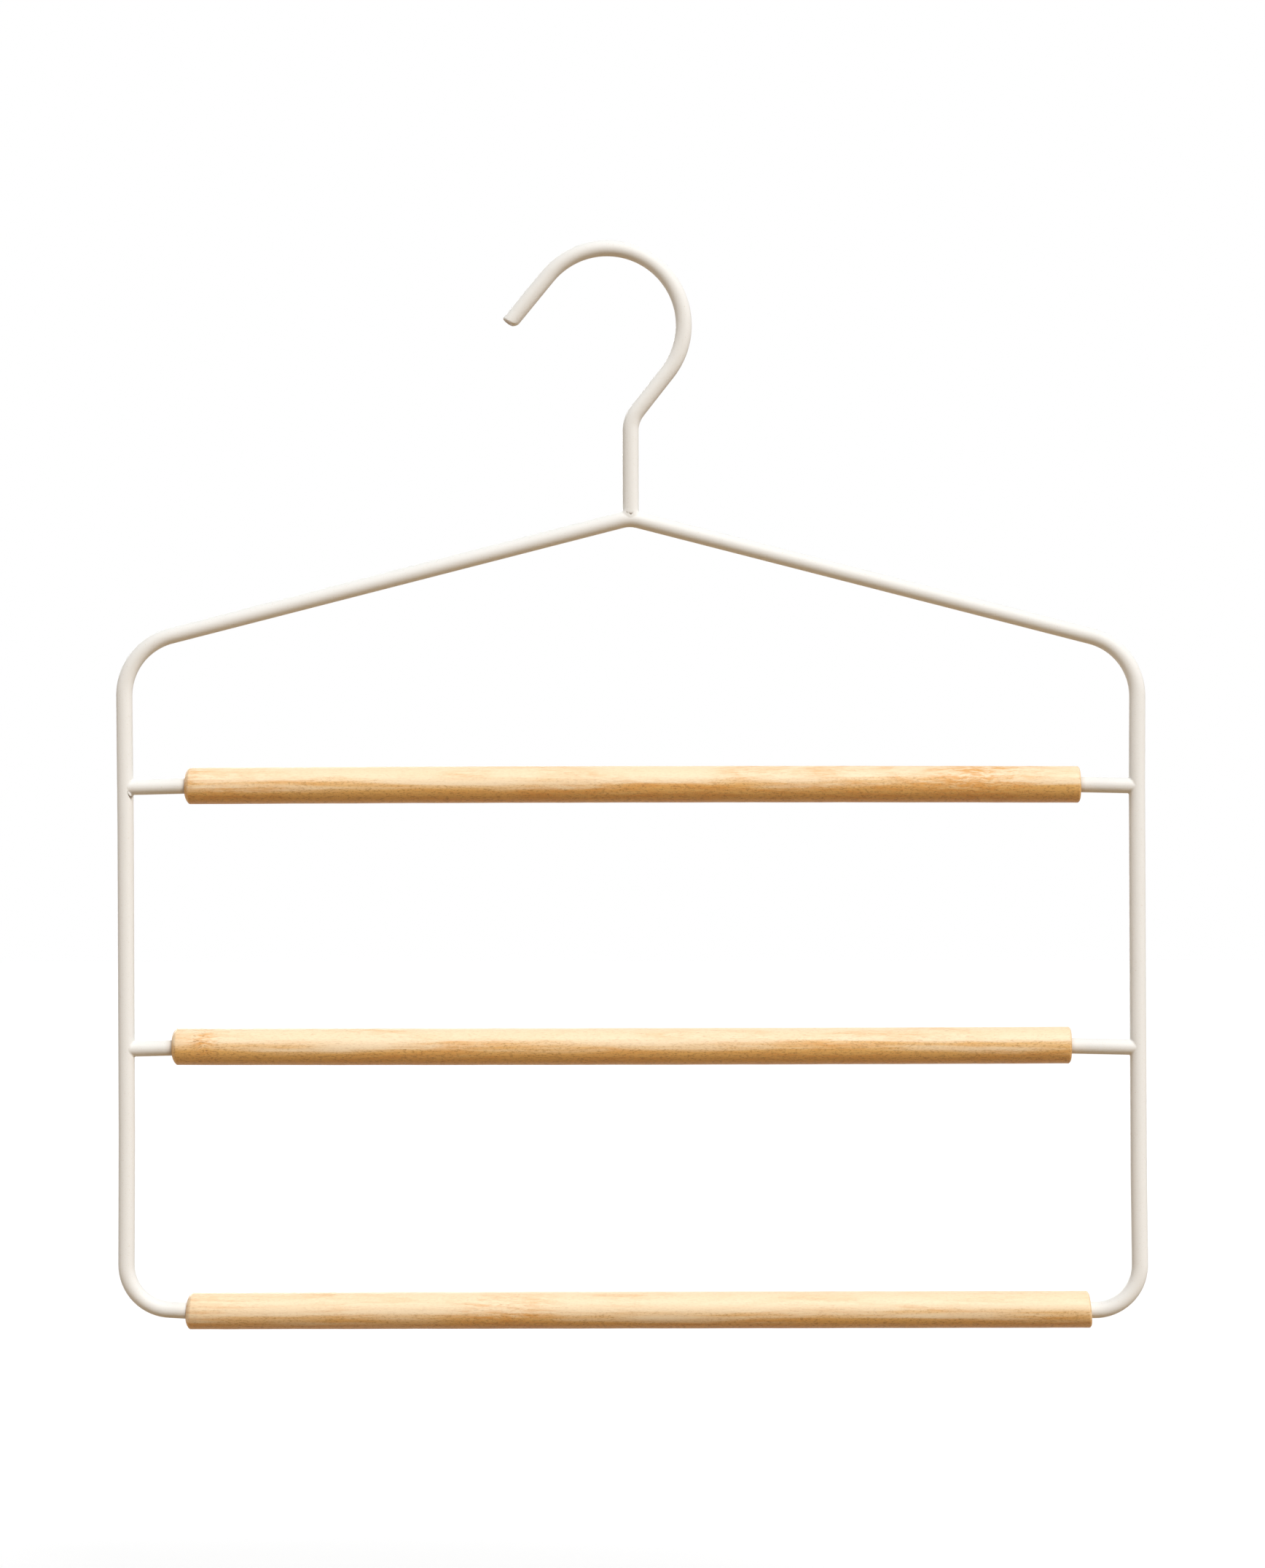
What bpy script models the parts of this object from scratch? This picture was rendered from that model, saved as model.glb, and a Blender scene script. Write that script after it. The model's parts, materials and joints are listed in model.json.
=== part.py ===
"""Trouser hanger: a bent wire frame with a welded hook, and three wooden bars that turn on pins.

Lengths are in metres and angles in radians. X runs along the bars, Y to the back and Z up.
The origin is the point inside the hook that sits on the rail.
"""

import math
from collections import namedtuple

import bmesh
import bpy
from mathutils import Vector

# Hook wire, from its foot on the frame up to its tip. Bend radii are those of the wire's axis.
HOOK_WIRE_RADIUS = 0.002725
STEM_RUN = 0.02976
NECK_BEND_RADIUS = 0.01076
NECK_LEAN = math.radians(38.1)
NECK_RUN = 0.01667
HOOK_BEND_RADIUS = 0.02615
HOOK_BEND_SWEEP = math.radians(178.7)
TIP_RUN = 0.0203
TIP_EDGE_RADIUS = 0.0007

# Frame wire, one length from its left end inside the bottom bar round to its right end. A leg
# runs from its shoulder's corner down to the bottom bar's axis.
FRAME_WIRE_RADIUS = 0.00275
LEG_SPACING = 0.3445
LEG_LENGTH = 0.2253
SHOULDER_SLOPE = math.radians(14.4)
APEX_BEND_RADIUS = 0.0043
SHOULDER_BEND_RADIUS = 0.0210
FOOT_BEND_RADIUS = 0.0153
FOOT_EDGE_RADIUS = 0.0006

# The two lower corners are bent by hand, so each stands a little off the bottom bar's axis, and
# the wire eases back onto that axis just inside the bar.
LEFT_CORNER_LIFT = 0.0013
RIGHT_CORNER_LIFT = -0.0016
EASE_BEND_RADIUS = 0.0200
EASE_INSET = 0.0020

# Pins, welded to the legs. Each rises a little towards its bar and crosses the bar's axis within
# its inserted length.
PIN_RADIUS = 0.002625
PIN_RISE = math.radians(1.3)
PIN_EDGE_RADIUS = 0.0008
PIN_CROSSING_SHARE = 0.5

# Wooden bars: turned dowels with a blind drilled bore at each end. The rounding of an end is a
# share of the wall round its bore, and more at the left than at the right.
BAR_RADIUS = 0.00625
BAR_LEFT_EDGE_SHARE = 0.65
BAR_RIGHT_EDGE_SHARE = 0.40
DRILL_POINT_ANGLE = math.radians(118)

# How the bars sit on the wires: straight wire that shows between a foot's bend and a bar, wire
# inside a bar, the bore's play round its wire, and its depth past the wire.
FOOT_RUN = 0.0037
WIRE_INSERTION = 0.0140
BORE_CLEARANCE = 0.00055
BORE_SPARE_DEPTH = 0.0060

# The upper bar hangs its drop below the shoulders, and the middle bar at its share of the way
# from there to the bottom bar. Each bar was cut and slid along its wires by hand, so each has its
# own extra length over the space between the feet's bends and its own shift to the right.
UPPER_BAR_DROP = 0.0466
MIDDLE_BAR_SHARE = 0.498
UPPER_BAR_OVERCUT = -0.0012
MIDDLE_BAR_OVERCUT = 0.0003
BOTTOM_BAR_OVERCUT = 0.0015
UPPER_BAR_SHIFT = 0.0008
MIDDLE_BAR_SHIFT = -0.0036
BOTTOM_BAR_SHIFT = 0.0019

# Weld beads, each a round of filler laid on the line where two wires meet.
WELD_BEAD_RADIUS = 0.0011

# Gap between neighbouring pieces, the overrun of a cutter and the distance that joins points.
SEAT_GAP = 0.0003
CUTTER_OVERRUN = 0.0020
JOIN_DISTANCE = 0.00001

# Facets: the turn between two rings of a bend, and the sides of each round section.
BEND_STEP = math.radians(6)
EDGE_STEPS = 3
WIRE_BEVEL_RESOLUTION = 6
BEAD_BEVEL_RESOLUTION = 2
BEAD_POINTS = 24
TURNED_STEPS = 24
SHARP_ANGLE = math.radians(35)

# Finishes: linear colour, roughness and metallic value.
IVORY_POWDER_COAT = ((0.84, 0.80, 0.73), 0.55, 0.0)
PALE_OILED_WOOD = ((0.76, 0.51, 0.28), 0.50, 0.0)

# Places that follow from the sizes above.
HOOK_CENTRE = Vector((0, 0, HOOK_WIRE_RADIUS - HOOK_BEND_RADIUS))
STEM_X = (
    HOOK_BEND_RADIUS * math.cos(NECK_LEAN)
    - NECK_RUN * math.sin(NECK_LEAN)
    - NECK_BEND_RADIUS * (1 - math.cos(NECK_LEAN))
)
STEM_TOP_Z = (
    HOOK_CENTRE.z
    - (HOOK_BEND_RADIUS + NECK_BEND_RADIUS) * math.sin(NECK_LEAN)
    - NECK_RUN * math.cos(NECK_LEAN)
)
APEX = Vector((STEM_X, 0, STEM_TOP_Z - STEM_RUN))
LEFT_LEG_X = STEM_X - LEG_SPACING / 2
RIGHT_LEG_X = STEM_X + LEG_SPACING / 2
SHOULDER_Z = APEX.z - LEG_SPACING / 2 * math.tan(SHOULDER_SLOPE)
FRAME_CLEAR_RADIUS = FRAME_WIRE_RADIUS + SEAT_GAP
BAR_END_GAP = FOOT_BEND_RADIUS + FOOT_RUN
WIRE_REACH = BAR_END_GAP + WIRE_INSERTION
BORE_DEPTH = WIRE_INSERTION + BORE_SPARE_DEPTH

Bar = namedtuple("Bar", "name z overcut shift wire_radius")
UPPER_BAR = Bar(
    name="upper_bar",
    z=SHOULDER_Z - UPPER_BAR_DROP,
    overcut=UPPER_BAR_OVERCUT,
    shift=UPPER_BAR_SHIFT,
    wire_radius=PIN_RADIUS,
)
MIDDLE_BAR = Bar(
    name="middle_bar",
    z=UPPER_BAR.z - MIDDLE_BAR_SHARE * (LEG_LENGTH - UPPER_BAR_DROP),
    overcut=MIDDLE_BAR_OVERCUT,
    shift=MIDDLE_BAR_SHIFT,
    wire_radius=PIN_RADIUS,
)
BOTTOM_BAR = Bar(
    name="bottom_bar",
    z=SHOULDER_Z - LEG_LENGTH,
    overcut=BOTTOM_BAR_OVERCUT,
    shift=BOTTOM_BAR_SHIFT,
    wire_radius=FRAME_WIRE_RADIUS,
)


def start_scene():
    """Empties the scene and returns the collections for the parts and for the cutters."""
    for old in list(bpy.data.objects):
        bpy.data.objects.remove(old, do_unlink=True)
    parts = bpy.data.collections.new("trouser_hanger")
    cutters = bpy.data.collections.new("cutters")
    bpy.context.scene.collection.children.link(parts)
    bpy.context.scene.collection.children.link(cutters)
    return parts, cutters


def finish(piece, look):
    """Gives the piece a material of its own."""
    colour, roughness, metallic = look
    material = bpy.data.materials.new(piece.name + "_finish")
    material.use_nodes = True
    shader = material.node_tree.nodes["Principled BSDF"]
    shader.inputs["Base Color"].default_value = (*colour, 1)
    shader.inputs["Roughness"].default_value = roughness
    shader.inputs["Metallic"].default_value = metallic
    material.diffuse_color = (*colour, 1)
    piece.data.materials.append(material)


def arc(centre, radius, start, sweep):
    """Points on an arc in the XZ plane, its angles measured from +X towards +Z."""
    steps = max(1, math.ceil(abs(sweep) / BEND_STEP))
    angles = [start + sweep * step / steps for step in range(steps + 1)]
    return [centre + radius * Vector((math.cos(a), 0, math.sin(a))) for a in angles]


def bent_route(corners, bend_radii):
    """The wire's axis through the corners, with an arc tangent to both runs at each inner one."""
    route = [corners[0]]
    for before, corner, after, radius in zip(corners, corners[1:], corners[2:], bend_radii):
        back = (before - corner).normalized()
        ahead = (after - corner).normalized()
        half_angle = back.angle(ahead) / 2
        centre = corner + (back + ahead).normalized() * radius / math.sin(half_angle)
        first = corner + back * radius / math.tan(half_angle) - centre
        last = corner + ahead * radius / math.tan(half_angle) - centre
        start = math.atan2(first.z, first.x)
        sweep = math.remainder(math.atan2(last.z, last.x) - start, math.tau)
        route += arc(centre, radius, start, sweep)
    return route + [corners[-1]]


def rounded_end(end, towards, radius, edge):
    """Points and radii of rings that round a wire's end by a quarter circle of radius edge."""
    inward = (towards - end).normalized()
    rings = []
    for step in range(EDGE_STEPS + 1):
        turn = math.pi / 2 * step / EDGE_STEPS
        point = end + inward * edge * (1 - math.cos(turn))
        rings.append((point, radius - edge * (1 - math.sin(turn))))
    return rings


def wire_rings(route, radius, first_edge=0, last_edge=0):
    """Each ring's centre and radius along a route, with its two ends rounded where asked."""
    rings = [(point, radius) for point in route]
    if first_edge:
        rings[:1] = rounded_end(route[0], route[1], radius, first_edge)
    if last_edge:
        rings[-1:] = reversed(rounded_end(route[-1], route[-2], radius, last_edge))
    return rings


def swept_mesh(name, rings, bevel_resolution, collection, closed=False):
    """A round section swept along the rings as a bevelled curve, made one closed mesh."""
    full_radius = max(radius for _, radius in rings)
    curve = bpy.data.curves.new(name, "CURVE")
    curve.dimensions = "3D"
    curve.bevel_depth = full_radius
    curve.bevel_resolution = bevel_resolution
    curve.use_fill_caps = not closed
    spline = curve.splines.new("POLY")
    spline.points.add(len(rings) - 1)
    spline.use_cyclic_u = closed
    for knot, (point, radius) in zip(spline.points, rings):
        knot.co = (*point, 1)
        knot.radius = radius / full_radius
    return settled(bpy.data.objects.new(name, curve), collection)


def turned_mesh(name, profile, collection):
    """A profile of (radius, height) pairs, run down its outer side, turned round local Z."""
    mesh = bpy.data.meshes.new(name)
    points = [(radius, 0, height) for radius, height in profile]
    mesh.from_pydata(points, [(i, i + 1) for i in range(len(points) - 1)], [])
    turned = bpy.data.objects.new(name, mesh)
    screw = turned.modifiers.new("turn", "SCREW")
    screw.steps = TURNED_STEPS
    screw.render_steps = TURNED_STEPS
    screw.use_merge_vertices = True
    screw.merge_threshold = JOIN_DISTANCE
    return settled(turned, collection)


def settled(source, collection):
    """A mesh object with the evaluated shape of source, its loose seams welded, in its place."""
    name = source.name
    bpy.context.scene.collection.objects.link(source)
    bpy.context.view_layer.update()
    graph = bpy.context.evaluated_depsgraph_get()
    mesh = bpy.data.meshes.new_from_object(source.evaluated_get(graph))
    work = bmesh.new()
    work.from_mesh(mesh)
    bmesh.ops.remove_doubles(work, verts=work.verts, dist=JOIN_DISTANCE)
    bmesh.ops.recalc_face_normals(work, faces=work.faces)
    work.to_mesh(mesh)
    work.free()
    mesh.shade_smooth()
    mesh.set_sharp_from_angle(angle=SHARP_ANGLE)
    matrix = source.matrix_world.copy()
    bpy.data.objects.remove(source, do_unlink=True)
    piece = bpy.data.objects.new(name, mesh)
    piece.matrix_world = matrix
    collection.objects.link(piece)
    return piece


def as_cutter(cutter):
    """Keeps a cutter out of the render and shows it as wire."""
    cutter.hide_render = True
    cutter.display_type = "WIRE"
    return cutter


def post_cutter(name, radius, across, cutters):
    """A cylinder round local Z that runs past a bead on a wire of radius across, both ways."""
    end = across + WELD_BEAD_RADIUS + CUTTER_OVERRUN
    profile = [(0, end), (radius, end), (radius, -end), (0, -end)]
    return as_cutter(turned_mesh(name, profile, cutters))


def cut(piece, cutter):
    """Takes the cutter's shape out of the piece."""
    boolean = piece.modifiers.new("cut_by_" + cutter.name, "BOOLEAN")
    boolean.operation = "DIFFERENCE"
    boolean.solver = "EXACT"
    boolean.object = cutter


def hook_route():
    """The hook's axis: stem, neck bend, neck, the bend that hangs on the rail, and its tip."""
    neck_centre = Vector((STEM_X + NECK_BEND_RADIUS, 0, STEM_TOP_Z))
    neck_bend = arc(neck_centre, NECK_BEND_RADIUS, math.pi, -NECK_LEAN)
    rail_bend = arc(HOOK_CENTRE, HOOK_BEND_RADIUS, -NECK_LEAN, HOOK_BEND_SWEEP)
    tip_heading = HOOK_BEND_SWEEP - NECK_LEAN + math.pi / 2
    tip = rail_bend[-1] + TIP_RUN * Vector((math.cos(tip_heading), 0, math.sin(tip_heading)))
    return [APEX] + neck_bend + rail_bend + [tip]


def bar_length(bar):
    """The space between the two end gaps, with the extra that this bar was cut to."""
    return LEG_SPACING - 2 * BAR_END_GAP + bar.overcut


def frame_route():
    """The frame's axis, from the left end inside the bottom bar over the apex to the right."""
    bar_x = STEM_X + BOTTOM_BAR.shift
    bar_z = BOTTOM_BAR.z
    half_straight = bar_length(BOTTOM_BAR) / 2 - EASE_INSET
    corners = [
        Vector((LEFT_LEG_X + WIRE_REACH, 0, bar_z)),
        Vector((bar_x - half_straight, 0, bar_z)),
        Vector((LEFT_LEG_X, 0, bar_z + LEFT_CORNER_LIFT)),
        Vector((LEFT_LEG_X, 0, SHOULDER_Z)),
        APEX,
        Vector((RIGHT_LEG_X, 0, SHOULDER_Z)),
        Vector((RIGHT_LEG_X, 0, bar_z + RIGHT_CORNER_LIFT)),
        Vector((bar_x + half_straight, 0, bar_z)),
        Vector((RIGHT_LEG_X - WIRE_REACH, 0, bar_z)),
    ]
    bend_radii = [
        EASE_BEND_RADIUS,
        FOOT_BEND_RADIUS,
        SHOULDER_BEND_RADIUS,
        APEX_BEND_RADIUS,
        SHOULDER_BEND_RADIUS,
        FOOT_BEND_RADIUS,
        EASE_BEND_RADIUS,
    ]
    return bent_route(corners, bend_radii)


def half_chord(radius, offset):
    """Half the chord of a circle at an offset from its centre, and nothing beyond its edge."""
    return math.sqrt(max(radius**2 - offset**2, 0))


def apex_height(x, y):
    """Height of the frame's upper surface at x and y, measured from the stem's axis.

    Over the bend the surface is a ring round the bend's centre, and beside it a sloping wire.
    """
    half_section = half_chord(FRAME_WIRE_RADIUS, y)
    outer_radius = APEX_BEND_RADIUS + half_section
    if abs(x) < outer_radius * math.sin(SHOULDER_SLOPE):
        bend_centre_z = APEX.z - APEX_BEND_RADIUS / math.cos(SHOULDER_SLOPE)
        return bend_centre_z + half_chord(outer_radius, x)
    slope_z = APEX.z - abs(x) * math.tan(SHOULDER_SLOPE)
    return slope_z + half_section / math.cos(SHOULDER_SLOPE)


def weld_bead(name, seam, cutters, parts):
    """A bead swept round the closed seam, with the two wires that it joins taken out of it."""
    rings = wire_rings(seam, WELD_BEAD_RADIUS)
    bead = swept_mesh(name, rings, BEAD_BEVEL_RESOLUTION, parts, closed=True)
    for cutter in cutters:
        cut(bead, cutter)
    finish(bead, IVORY_POWDER_COAT)
    return bead


def bead_angles():
    """Angles round a wire at which the seam under a bead is worked out."""
    return [math.tau * step / BEAD_POINTS for step in range(BEAD_POINTS)]


def make_frame(parts):
    rings = wire_rings(frame_route(), FRAME_WIRE_RADIUS, FOOT_EDGE_RADIUS, FOOT_EDGE_RADIUS)
    frame = swept_mesh("frame_wire", rings, WIRE_BEVEL_RESOLUTION, parts)
    finish(frame, IVORY_POWDER_COAT)
    return [frame]


def make_hook(parts, cutters):
    """The hook, its foot coped to sit astride the frame's apex, and the bead round that foot."""
    half_saddle = HOOK_WIRE_RADIUS + WELD_BEAD_RADIUS + CUTTER_OVERRUN
    fall = half_saddle * math.tan(SHOULDER_SLOPE)
    corners = [
        APEX - Vector((half_saddle, 0, fall)),
        APEX,
        APEX + Vector((half_saddle, 0, -fall)),
    ]
    saddle = wire_rings(bent_route(corners, [APEX_BEND_RADIUS]), FRAME_CLEAR_RADIUS)
    apex_cutter = as_cutter(swept_mesh("apex_cutter", saddle, WIRE_BEVEL_RESOLUTION, cutters))
    stem_clear_radius = HOOK_WIRE_RADIUS + SEAT_GAP
    stem_cutter = post_cutter("stem_cutter", stem_clear_radius, FRAME_WIRE_RADIUS, cutters)
    stem_cutter.location = APEX

    rings = wire_rings(hook_route(), HOOK_WIRE_RADIUS, last_edge=TIP_EDGE_RADIUS)
    hook = swept_mesh("hook_wire", rings, WIRE_BEVEL_RESOLUTION, parts)
    cut(hook, apex_cutter)
    finish(hook, IVORY_POWDER_COAT)

    seam = []
    for angle in bead_angles():
        x = HOOK_WIRE_RADIUS * math.cos(angle)
        y = HOOK_WIRE_RADIUS * math.sin(angle)
        seam.append(Vector((APEX.x + x, y, apex_height(x, y))))
    bead = weld_bead("hook_weld", seam, [apex_cutter, stem_cutter], parts)
    return [hook, bead]


def make_pin(place, leg_x, bar, parts, cutters):
    """One pin, coped where it meets its leg, and the bead on the saddle line round its root.

    In the pin's own frame Z runs along the pin from the leg's axis to the bar, and Y is the
    model's Y. The leg crosses that frame at the pin's rise.
    """
    side = 1 if leg_x < STEM_X else -1
    crossing = BAR_END_GAP + PIN_CROSSING_SHARE * WIRE_INSERTION
    root = Vector((leg_x, 0, bar.z - crossing * math.tan(PIN_RISE)))
    turn = (0, side * (math.pi / 2 - PIN_RISE), 0)

    leg_cutter = post_cutter(place + "_leg_cutter", FRAME_CLEAR_RADIUS, PIN_RADIUS, cutters)
    leg_cutter.location = root
    pin_clear_radius = PIN_RADIUS + SEAT_GAP
    pin_cutter = post_cutter(place + "_pin_cutter", pin_clear_radius, FRAME_WIRE_RADIUS, cutters)
    pin_cutter.location = root
    pin_cutter.rotation_euler = turn

    tip = rounded_end(Vector((0, 0, WIRE_REACH)), Vector(), PIN_RADIUS, PIN_EDGE_RADIUS)
    profile = [(0, WIRE_REACH)]
    profile += [(radius, point.z) for point, radius in tip]
    profile += [(PIN_RADIUS, 0), (0, 0)]
    pin = turned_mesh(place + "_pin", profile, parts)
    pin.location = root
    pin.rotation_euler = turn
    cut(pin, leg_cutter)
    finish(pin, IVORY_POWDER_COAT)

    seam = []
    for angle in bead_angles():
        x = PIN_RADIUS * math.cos(angle)
        y = PIN_RADIUS * math.sin(angle)
        z = (half_chord(FRAME_WIRE_RADIUS, y) - side * x * math.sin(PIN_RISE)) / math.cos(PIN_RISE)
        seam.append(Vector((x, y, z)))
    bead = weld_bead(place + "_weld", seam, [leg_cutter, pin_cutter], parts)
    bead.location = root
    bead.rotation_euler = turn
    return [pin, bead]


def end_profile(mouth_z, bore_radius, edge_share):
    """One end of a bar: its bore, from the drilled point to the mouth, and its rounded edge."""
    inward = math.copysign(1, -mouth_z)
    point_depth = BORE_DEPTH + bore_radius / math.tan(DRILL_POINT_ANGLE / 2)
    edge_radius = edge_share * (BAR_RADIUS - bore_radius)
    rim = rounded_end(Vector((0, 0, mouth_z)), Vector(), BAR_RADIUS, edge_radius)
    return [
        (0, mouth_z + inward * point_depth),
        (bore_radius, mouth_z + inward * BORE_DEPTH),
        (bore_radius, mouth_z),
    ] + [(radius, point.z) for point, radius in rim]


def make_bar(bar, parts):
    """One bar, turned round its own length, with its right end up before it is laid level."""
    top = bar_length(bar) / 2
    bore_radius = bar.wire_radius + BORE_CLEARANCE
    profile = end_profile(top, bore_radius, BAR_RIGHT_EDGE_SHARE)
    profile += reversed(end_profile(-top, bore_radius, BAR_LEFT_EDGE_SHARE))
    piece = turned_mesh(bar.name, profile, parts)
    piece.location = (STEM_X + bar.shift, 0, bar.z)
    piece.rotation_euler = (0, math.pi / 2, 0)
    finish(piece, PALE_OILED_WOOD)
    return [piece]


def main():
    parts, cutters = start_scene()
    pieces = make_frame(parts) + make_hook(parts, cutters)
    for level, bar in (("upper", UPPER_BAR), ("middle", MIDDLE_BAR)):
        pieces += make_pin(level + "_left", LEFT_LEG_X, bar, parts, cutters)
        pieces += make_pin(level + "_right", RIGHT_LEG_X, bar, parts, cutters)
    for bar in (UPPER_BAR, MIDDLE_BAR, BOTTOM_BAR):
        pieces += make_bar(bar, parts)

    rail_point = bpy.data.objects.new("rail_point", None)
    parts.objects.link(rail_point)
    for piece in pieces + list(cutters.objects):
        piece.parent = rail_point


main()
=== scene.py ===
"""Trouser hanger: a powder-coated wire frame and hook, welded pins and three turned wooden bars.

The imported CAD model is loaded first, and the places and thicknesses of its pieces are read from
it. Lengths are in metres, X runs along the bars, Y to the back and Z up, and the origin is where
the rail sits. Each piece is worked out from two parameters as a grid of points, and stands in for
the CAD node that it names.
"""

import json
import math
from collections import namedtuple
from functools import partial

import bpy
import numpy as np
from bpy.props import FloatProperty, FloatVectorProperty, PointerProperty
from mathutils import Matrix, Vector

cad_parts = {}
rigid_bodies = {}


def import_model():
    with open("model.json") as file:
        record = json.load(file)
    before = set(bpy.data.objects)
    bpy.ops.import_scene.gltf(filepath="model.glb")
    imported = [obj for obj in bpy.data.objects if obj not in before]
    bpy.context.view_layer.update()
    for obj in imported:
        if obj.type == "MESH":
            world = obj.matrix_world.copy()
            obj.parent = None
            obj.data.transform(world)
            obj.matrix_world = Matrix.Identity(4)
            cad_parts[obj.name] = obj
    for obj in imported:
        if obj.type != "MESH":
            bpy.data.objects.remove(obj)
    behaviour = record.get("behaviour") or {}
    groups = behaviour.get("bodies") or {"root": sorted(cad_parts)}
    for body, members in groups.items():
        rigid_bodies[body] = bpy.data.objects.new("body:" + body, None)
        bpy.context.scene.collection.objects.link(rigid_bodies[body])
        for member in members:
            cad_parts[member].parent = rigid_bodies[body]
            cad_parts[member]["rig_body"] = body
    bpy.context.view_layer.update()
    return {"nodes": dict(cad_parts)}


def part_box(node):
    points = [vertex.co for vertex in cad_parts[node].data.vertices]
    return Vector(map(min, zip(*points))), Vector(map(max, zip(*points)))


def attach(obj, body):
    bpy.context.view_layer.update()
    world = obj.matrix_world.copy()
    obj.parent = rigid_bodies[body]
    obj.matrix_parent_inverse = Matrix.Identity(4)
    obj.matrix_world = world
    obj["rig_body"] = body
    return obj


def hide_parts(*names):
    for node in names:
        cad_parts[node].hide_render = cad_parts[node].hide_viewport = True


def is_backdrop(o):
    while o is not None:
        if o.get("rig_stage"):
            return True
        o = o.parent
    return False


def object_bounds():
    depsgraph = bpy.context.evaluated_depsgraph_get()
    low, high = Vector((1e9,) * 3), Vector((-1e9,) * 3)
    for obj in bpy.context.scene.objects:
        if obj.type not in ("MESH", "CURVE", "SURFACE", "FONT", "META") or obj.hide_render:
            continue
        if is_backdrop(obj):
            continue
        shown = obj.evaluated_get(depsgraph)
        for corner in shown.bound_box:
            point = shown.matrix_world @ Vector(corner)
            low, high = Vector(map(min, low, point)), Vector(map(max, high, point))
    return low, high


bl_info = {
    "name": "Trouser Hanger",
    "version": (1, 0, 0),
    "blender": (4, 5, 0),
    "location": "3D View > Sidebar > Hanger",
    "description": "Builds a wire trouser hanger with three wooden bars, and its photo stage",
    "category": "Object",
}

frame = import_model()

MILLIMETRE = 0.001
TURN = 2 * math.pi
COAT = "ivory powder coat"

# Places read from the CAD nodes. A wire lies in the plane Y = 0, so half its depth is its radius.
FRAME_LOW, FRAME_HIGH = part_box("frame_wire")
_, HOOK_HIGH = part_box("hook_wire")
_, PIN_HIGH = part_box("upper_left_pin")
LEFT_LEG_X = FRAME_LOW.x + FRAME_HIGH.y
RIGHT_LEG_X = FRAME_HIGH.x - FRAME_HIGH.y
STEM_X = (LEFT_LEG_X + RIGHT_LEG_X) / 2

# The bars from the top down, and the four pins, each by its bar and the side that it stands at.
BARS = ("upper_bar", "middle_bar", "bottom_bar")
BOTTOM_BAR = BARS[2]
PINS = [(bar, side) for bar in BARS[:2] for side in ("left", "right")]

# How finely the grids are drawn: points round a wire and a bar, rows round a weld and points
# across it, rows and sides of the drop of filler, steps along a wire, along the hook and pins and
# along a bar, rows in a rounded edge, and the turn between two points of a bend. Edges sharper
# than the last angle aren't smoothed.
WIRE_SIDES = 64
BAR_SIDES = 96
WELD_ROWS = 256
WELD_COLUMNS = 17
LUMP_ROWS = 16
LUMP_SIDES = 32
WIRE_STEP = 0.0015
FINE_STEP = 0.6 * WIRE_STEP
BAR_STEP = 0.0040
EDGE_ROWS = 13
BEND_TURN = math.radians(2)
SMOOTH_ANGLE = math.radians(50)

# The least space between two points of a route, and the share of a drop's half turn that its rows
# cover before its poles.
SAME_PLACE = 1e-6
LUMP_SPAN = 0.98

# The slow unevenness of a turned surface, as waves: length along the piece, whole waves round it,
# where each starts, and its share.
WAVES = ((0.0380, 1, 0.4, 0.45), (0.0145, 2, 2.1, 0.30), (0.0068, 3, 4.4, 0.25))


def length(name, description, default):
    """A length property, in metres."""
    return FloatProperty(
        name=name, description=description, default=default, unit="LENGTH", precision=5
    )


def lengths(name, description, default):
    """A row of lengths, in metres."""
    return FloatVectorProperty(
        name=name, description=description, default=default, size=len(default), unit="LENGTH"
    )


def angle(name, description, degrees):
    """An angle property, given in degrees and kept in radians."""
    default = math.radians(degrees)
    return FloatProperty(name=name, description=description, default=default, subtype="ANGLE")


def number(name, description, default, unit="NONE"):
    """A number, whose description says what it measures."""
    return FloatProperty(
        name=name, description=description, default=default, unit=unit, precision=3
    )


def numbers(name, description, default):
    """Three such numbers."""
    return FloatVectorProperty(name=name, description=description, default=default, precision=3)


def colour(name, description, default):
    """A linear colour property."""
    return FloatVectorProperty(
        name=name, description=description, default=default, subtype="COLOR", min=0, max=1
    )


class HangerFrameSizes(bpy.types.PropertyGroup):
    """Sizes of the frame's one bent wire"""

    wire_radius: length("Wire radius", "Half the coated wire's thickness", FRAME_HIGH.y)
    slope: angle("Shoulder slope", "Fall of each shoulder from the apex", 14.4)
    apex_bend: length("Apex bend", "Bend radius of the wire's axis under the hook", 0.0115)
    apex_rise: length("Apex rise", "Height of the CAD wire over its apex corner", 0.00261)
    shoulder_bend: length("Shoulder bend", "Bend radius at a leg's top", 0.0210)
    foot_bend: length("Foot bend", "Bend radius at a leg's foot", 0.0153)
    ease_bend: length("Ease bend", "Bend radius where the wire meets the bar's axis", 0.0200)
    ease_inset: length("Ease inset", "Where that bend lies inside the bottom bar", 0.0020)
    leg_bend: length("Leg bow radius", "Radius of the slight bow at a leg's middle", 8.0)
    left_drift: lengths(
        "Left leg drift",
        "How far the left leg stands right of true at its top, middle and foot",
        (-0.0001, 0.0009, 0.0004),
    )
    right_drift: lengths("Right leg drift", "The same of the right leg", (0.0004, -0.0002, 0.0011))
    top_lifts: lengths(
        "Shoulder lifts", "Height of the left and right shoulder over true", (0.00035, -0.00033)
    )
    foot_lifts: lengths(
        "Foot lifts", "Height of the left and right lower corner over the bar", (0.0013, -0.0014)
    )
    end_edge: length("End edge", "Rounding of the wire's hidden ends", 0.0006)


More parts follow.
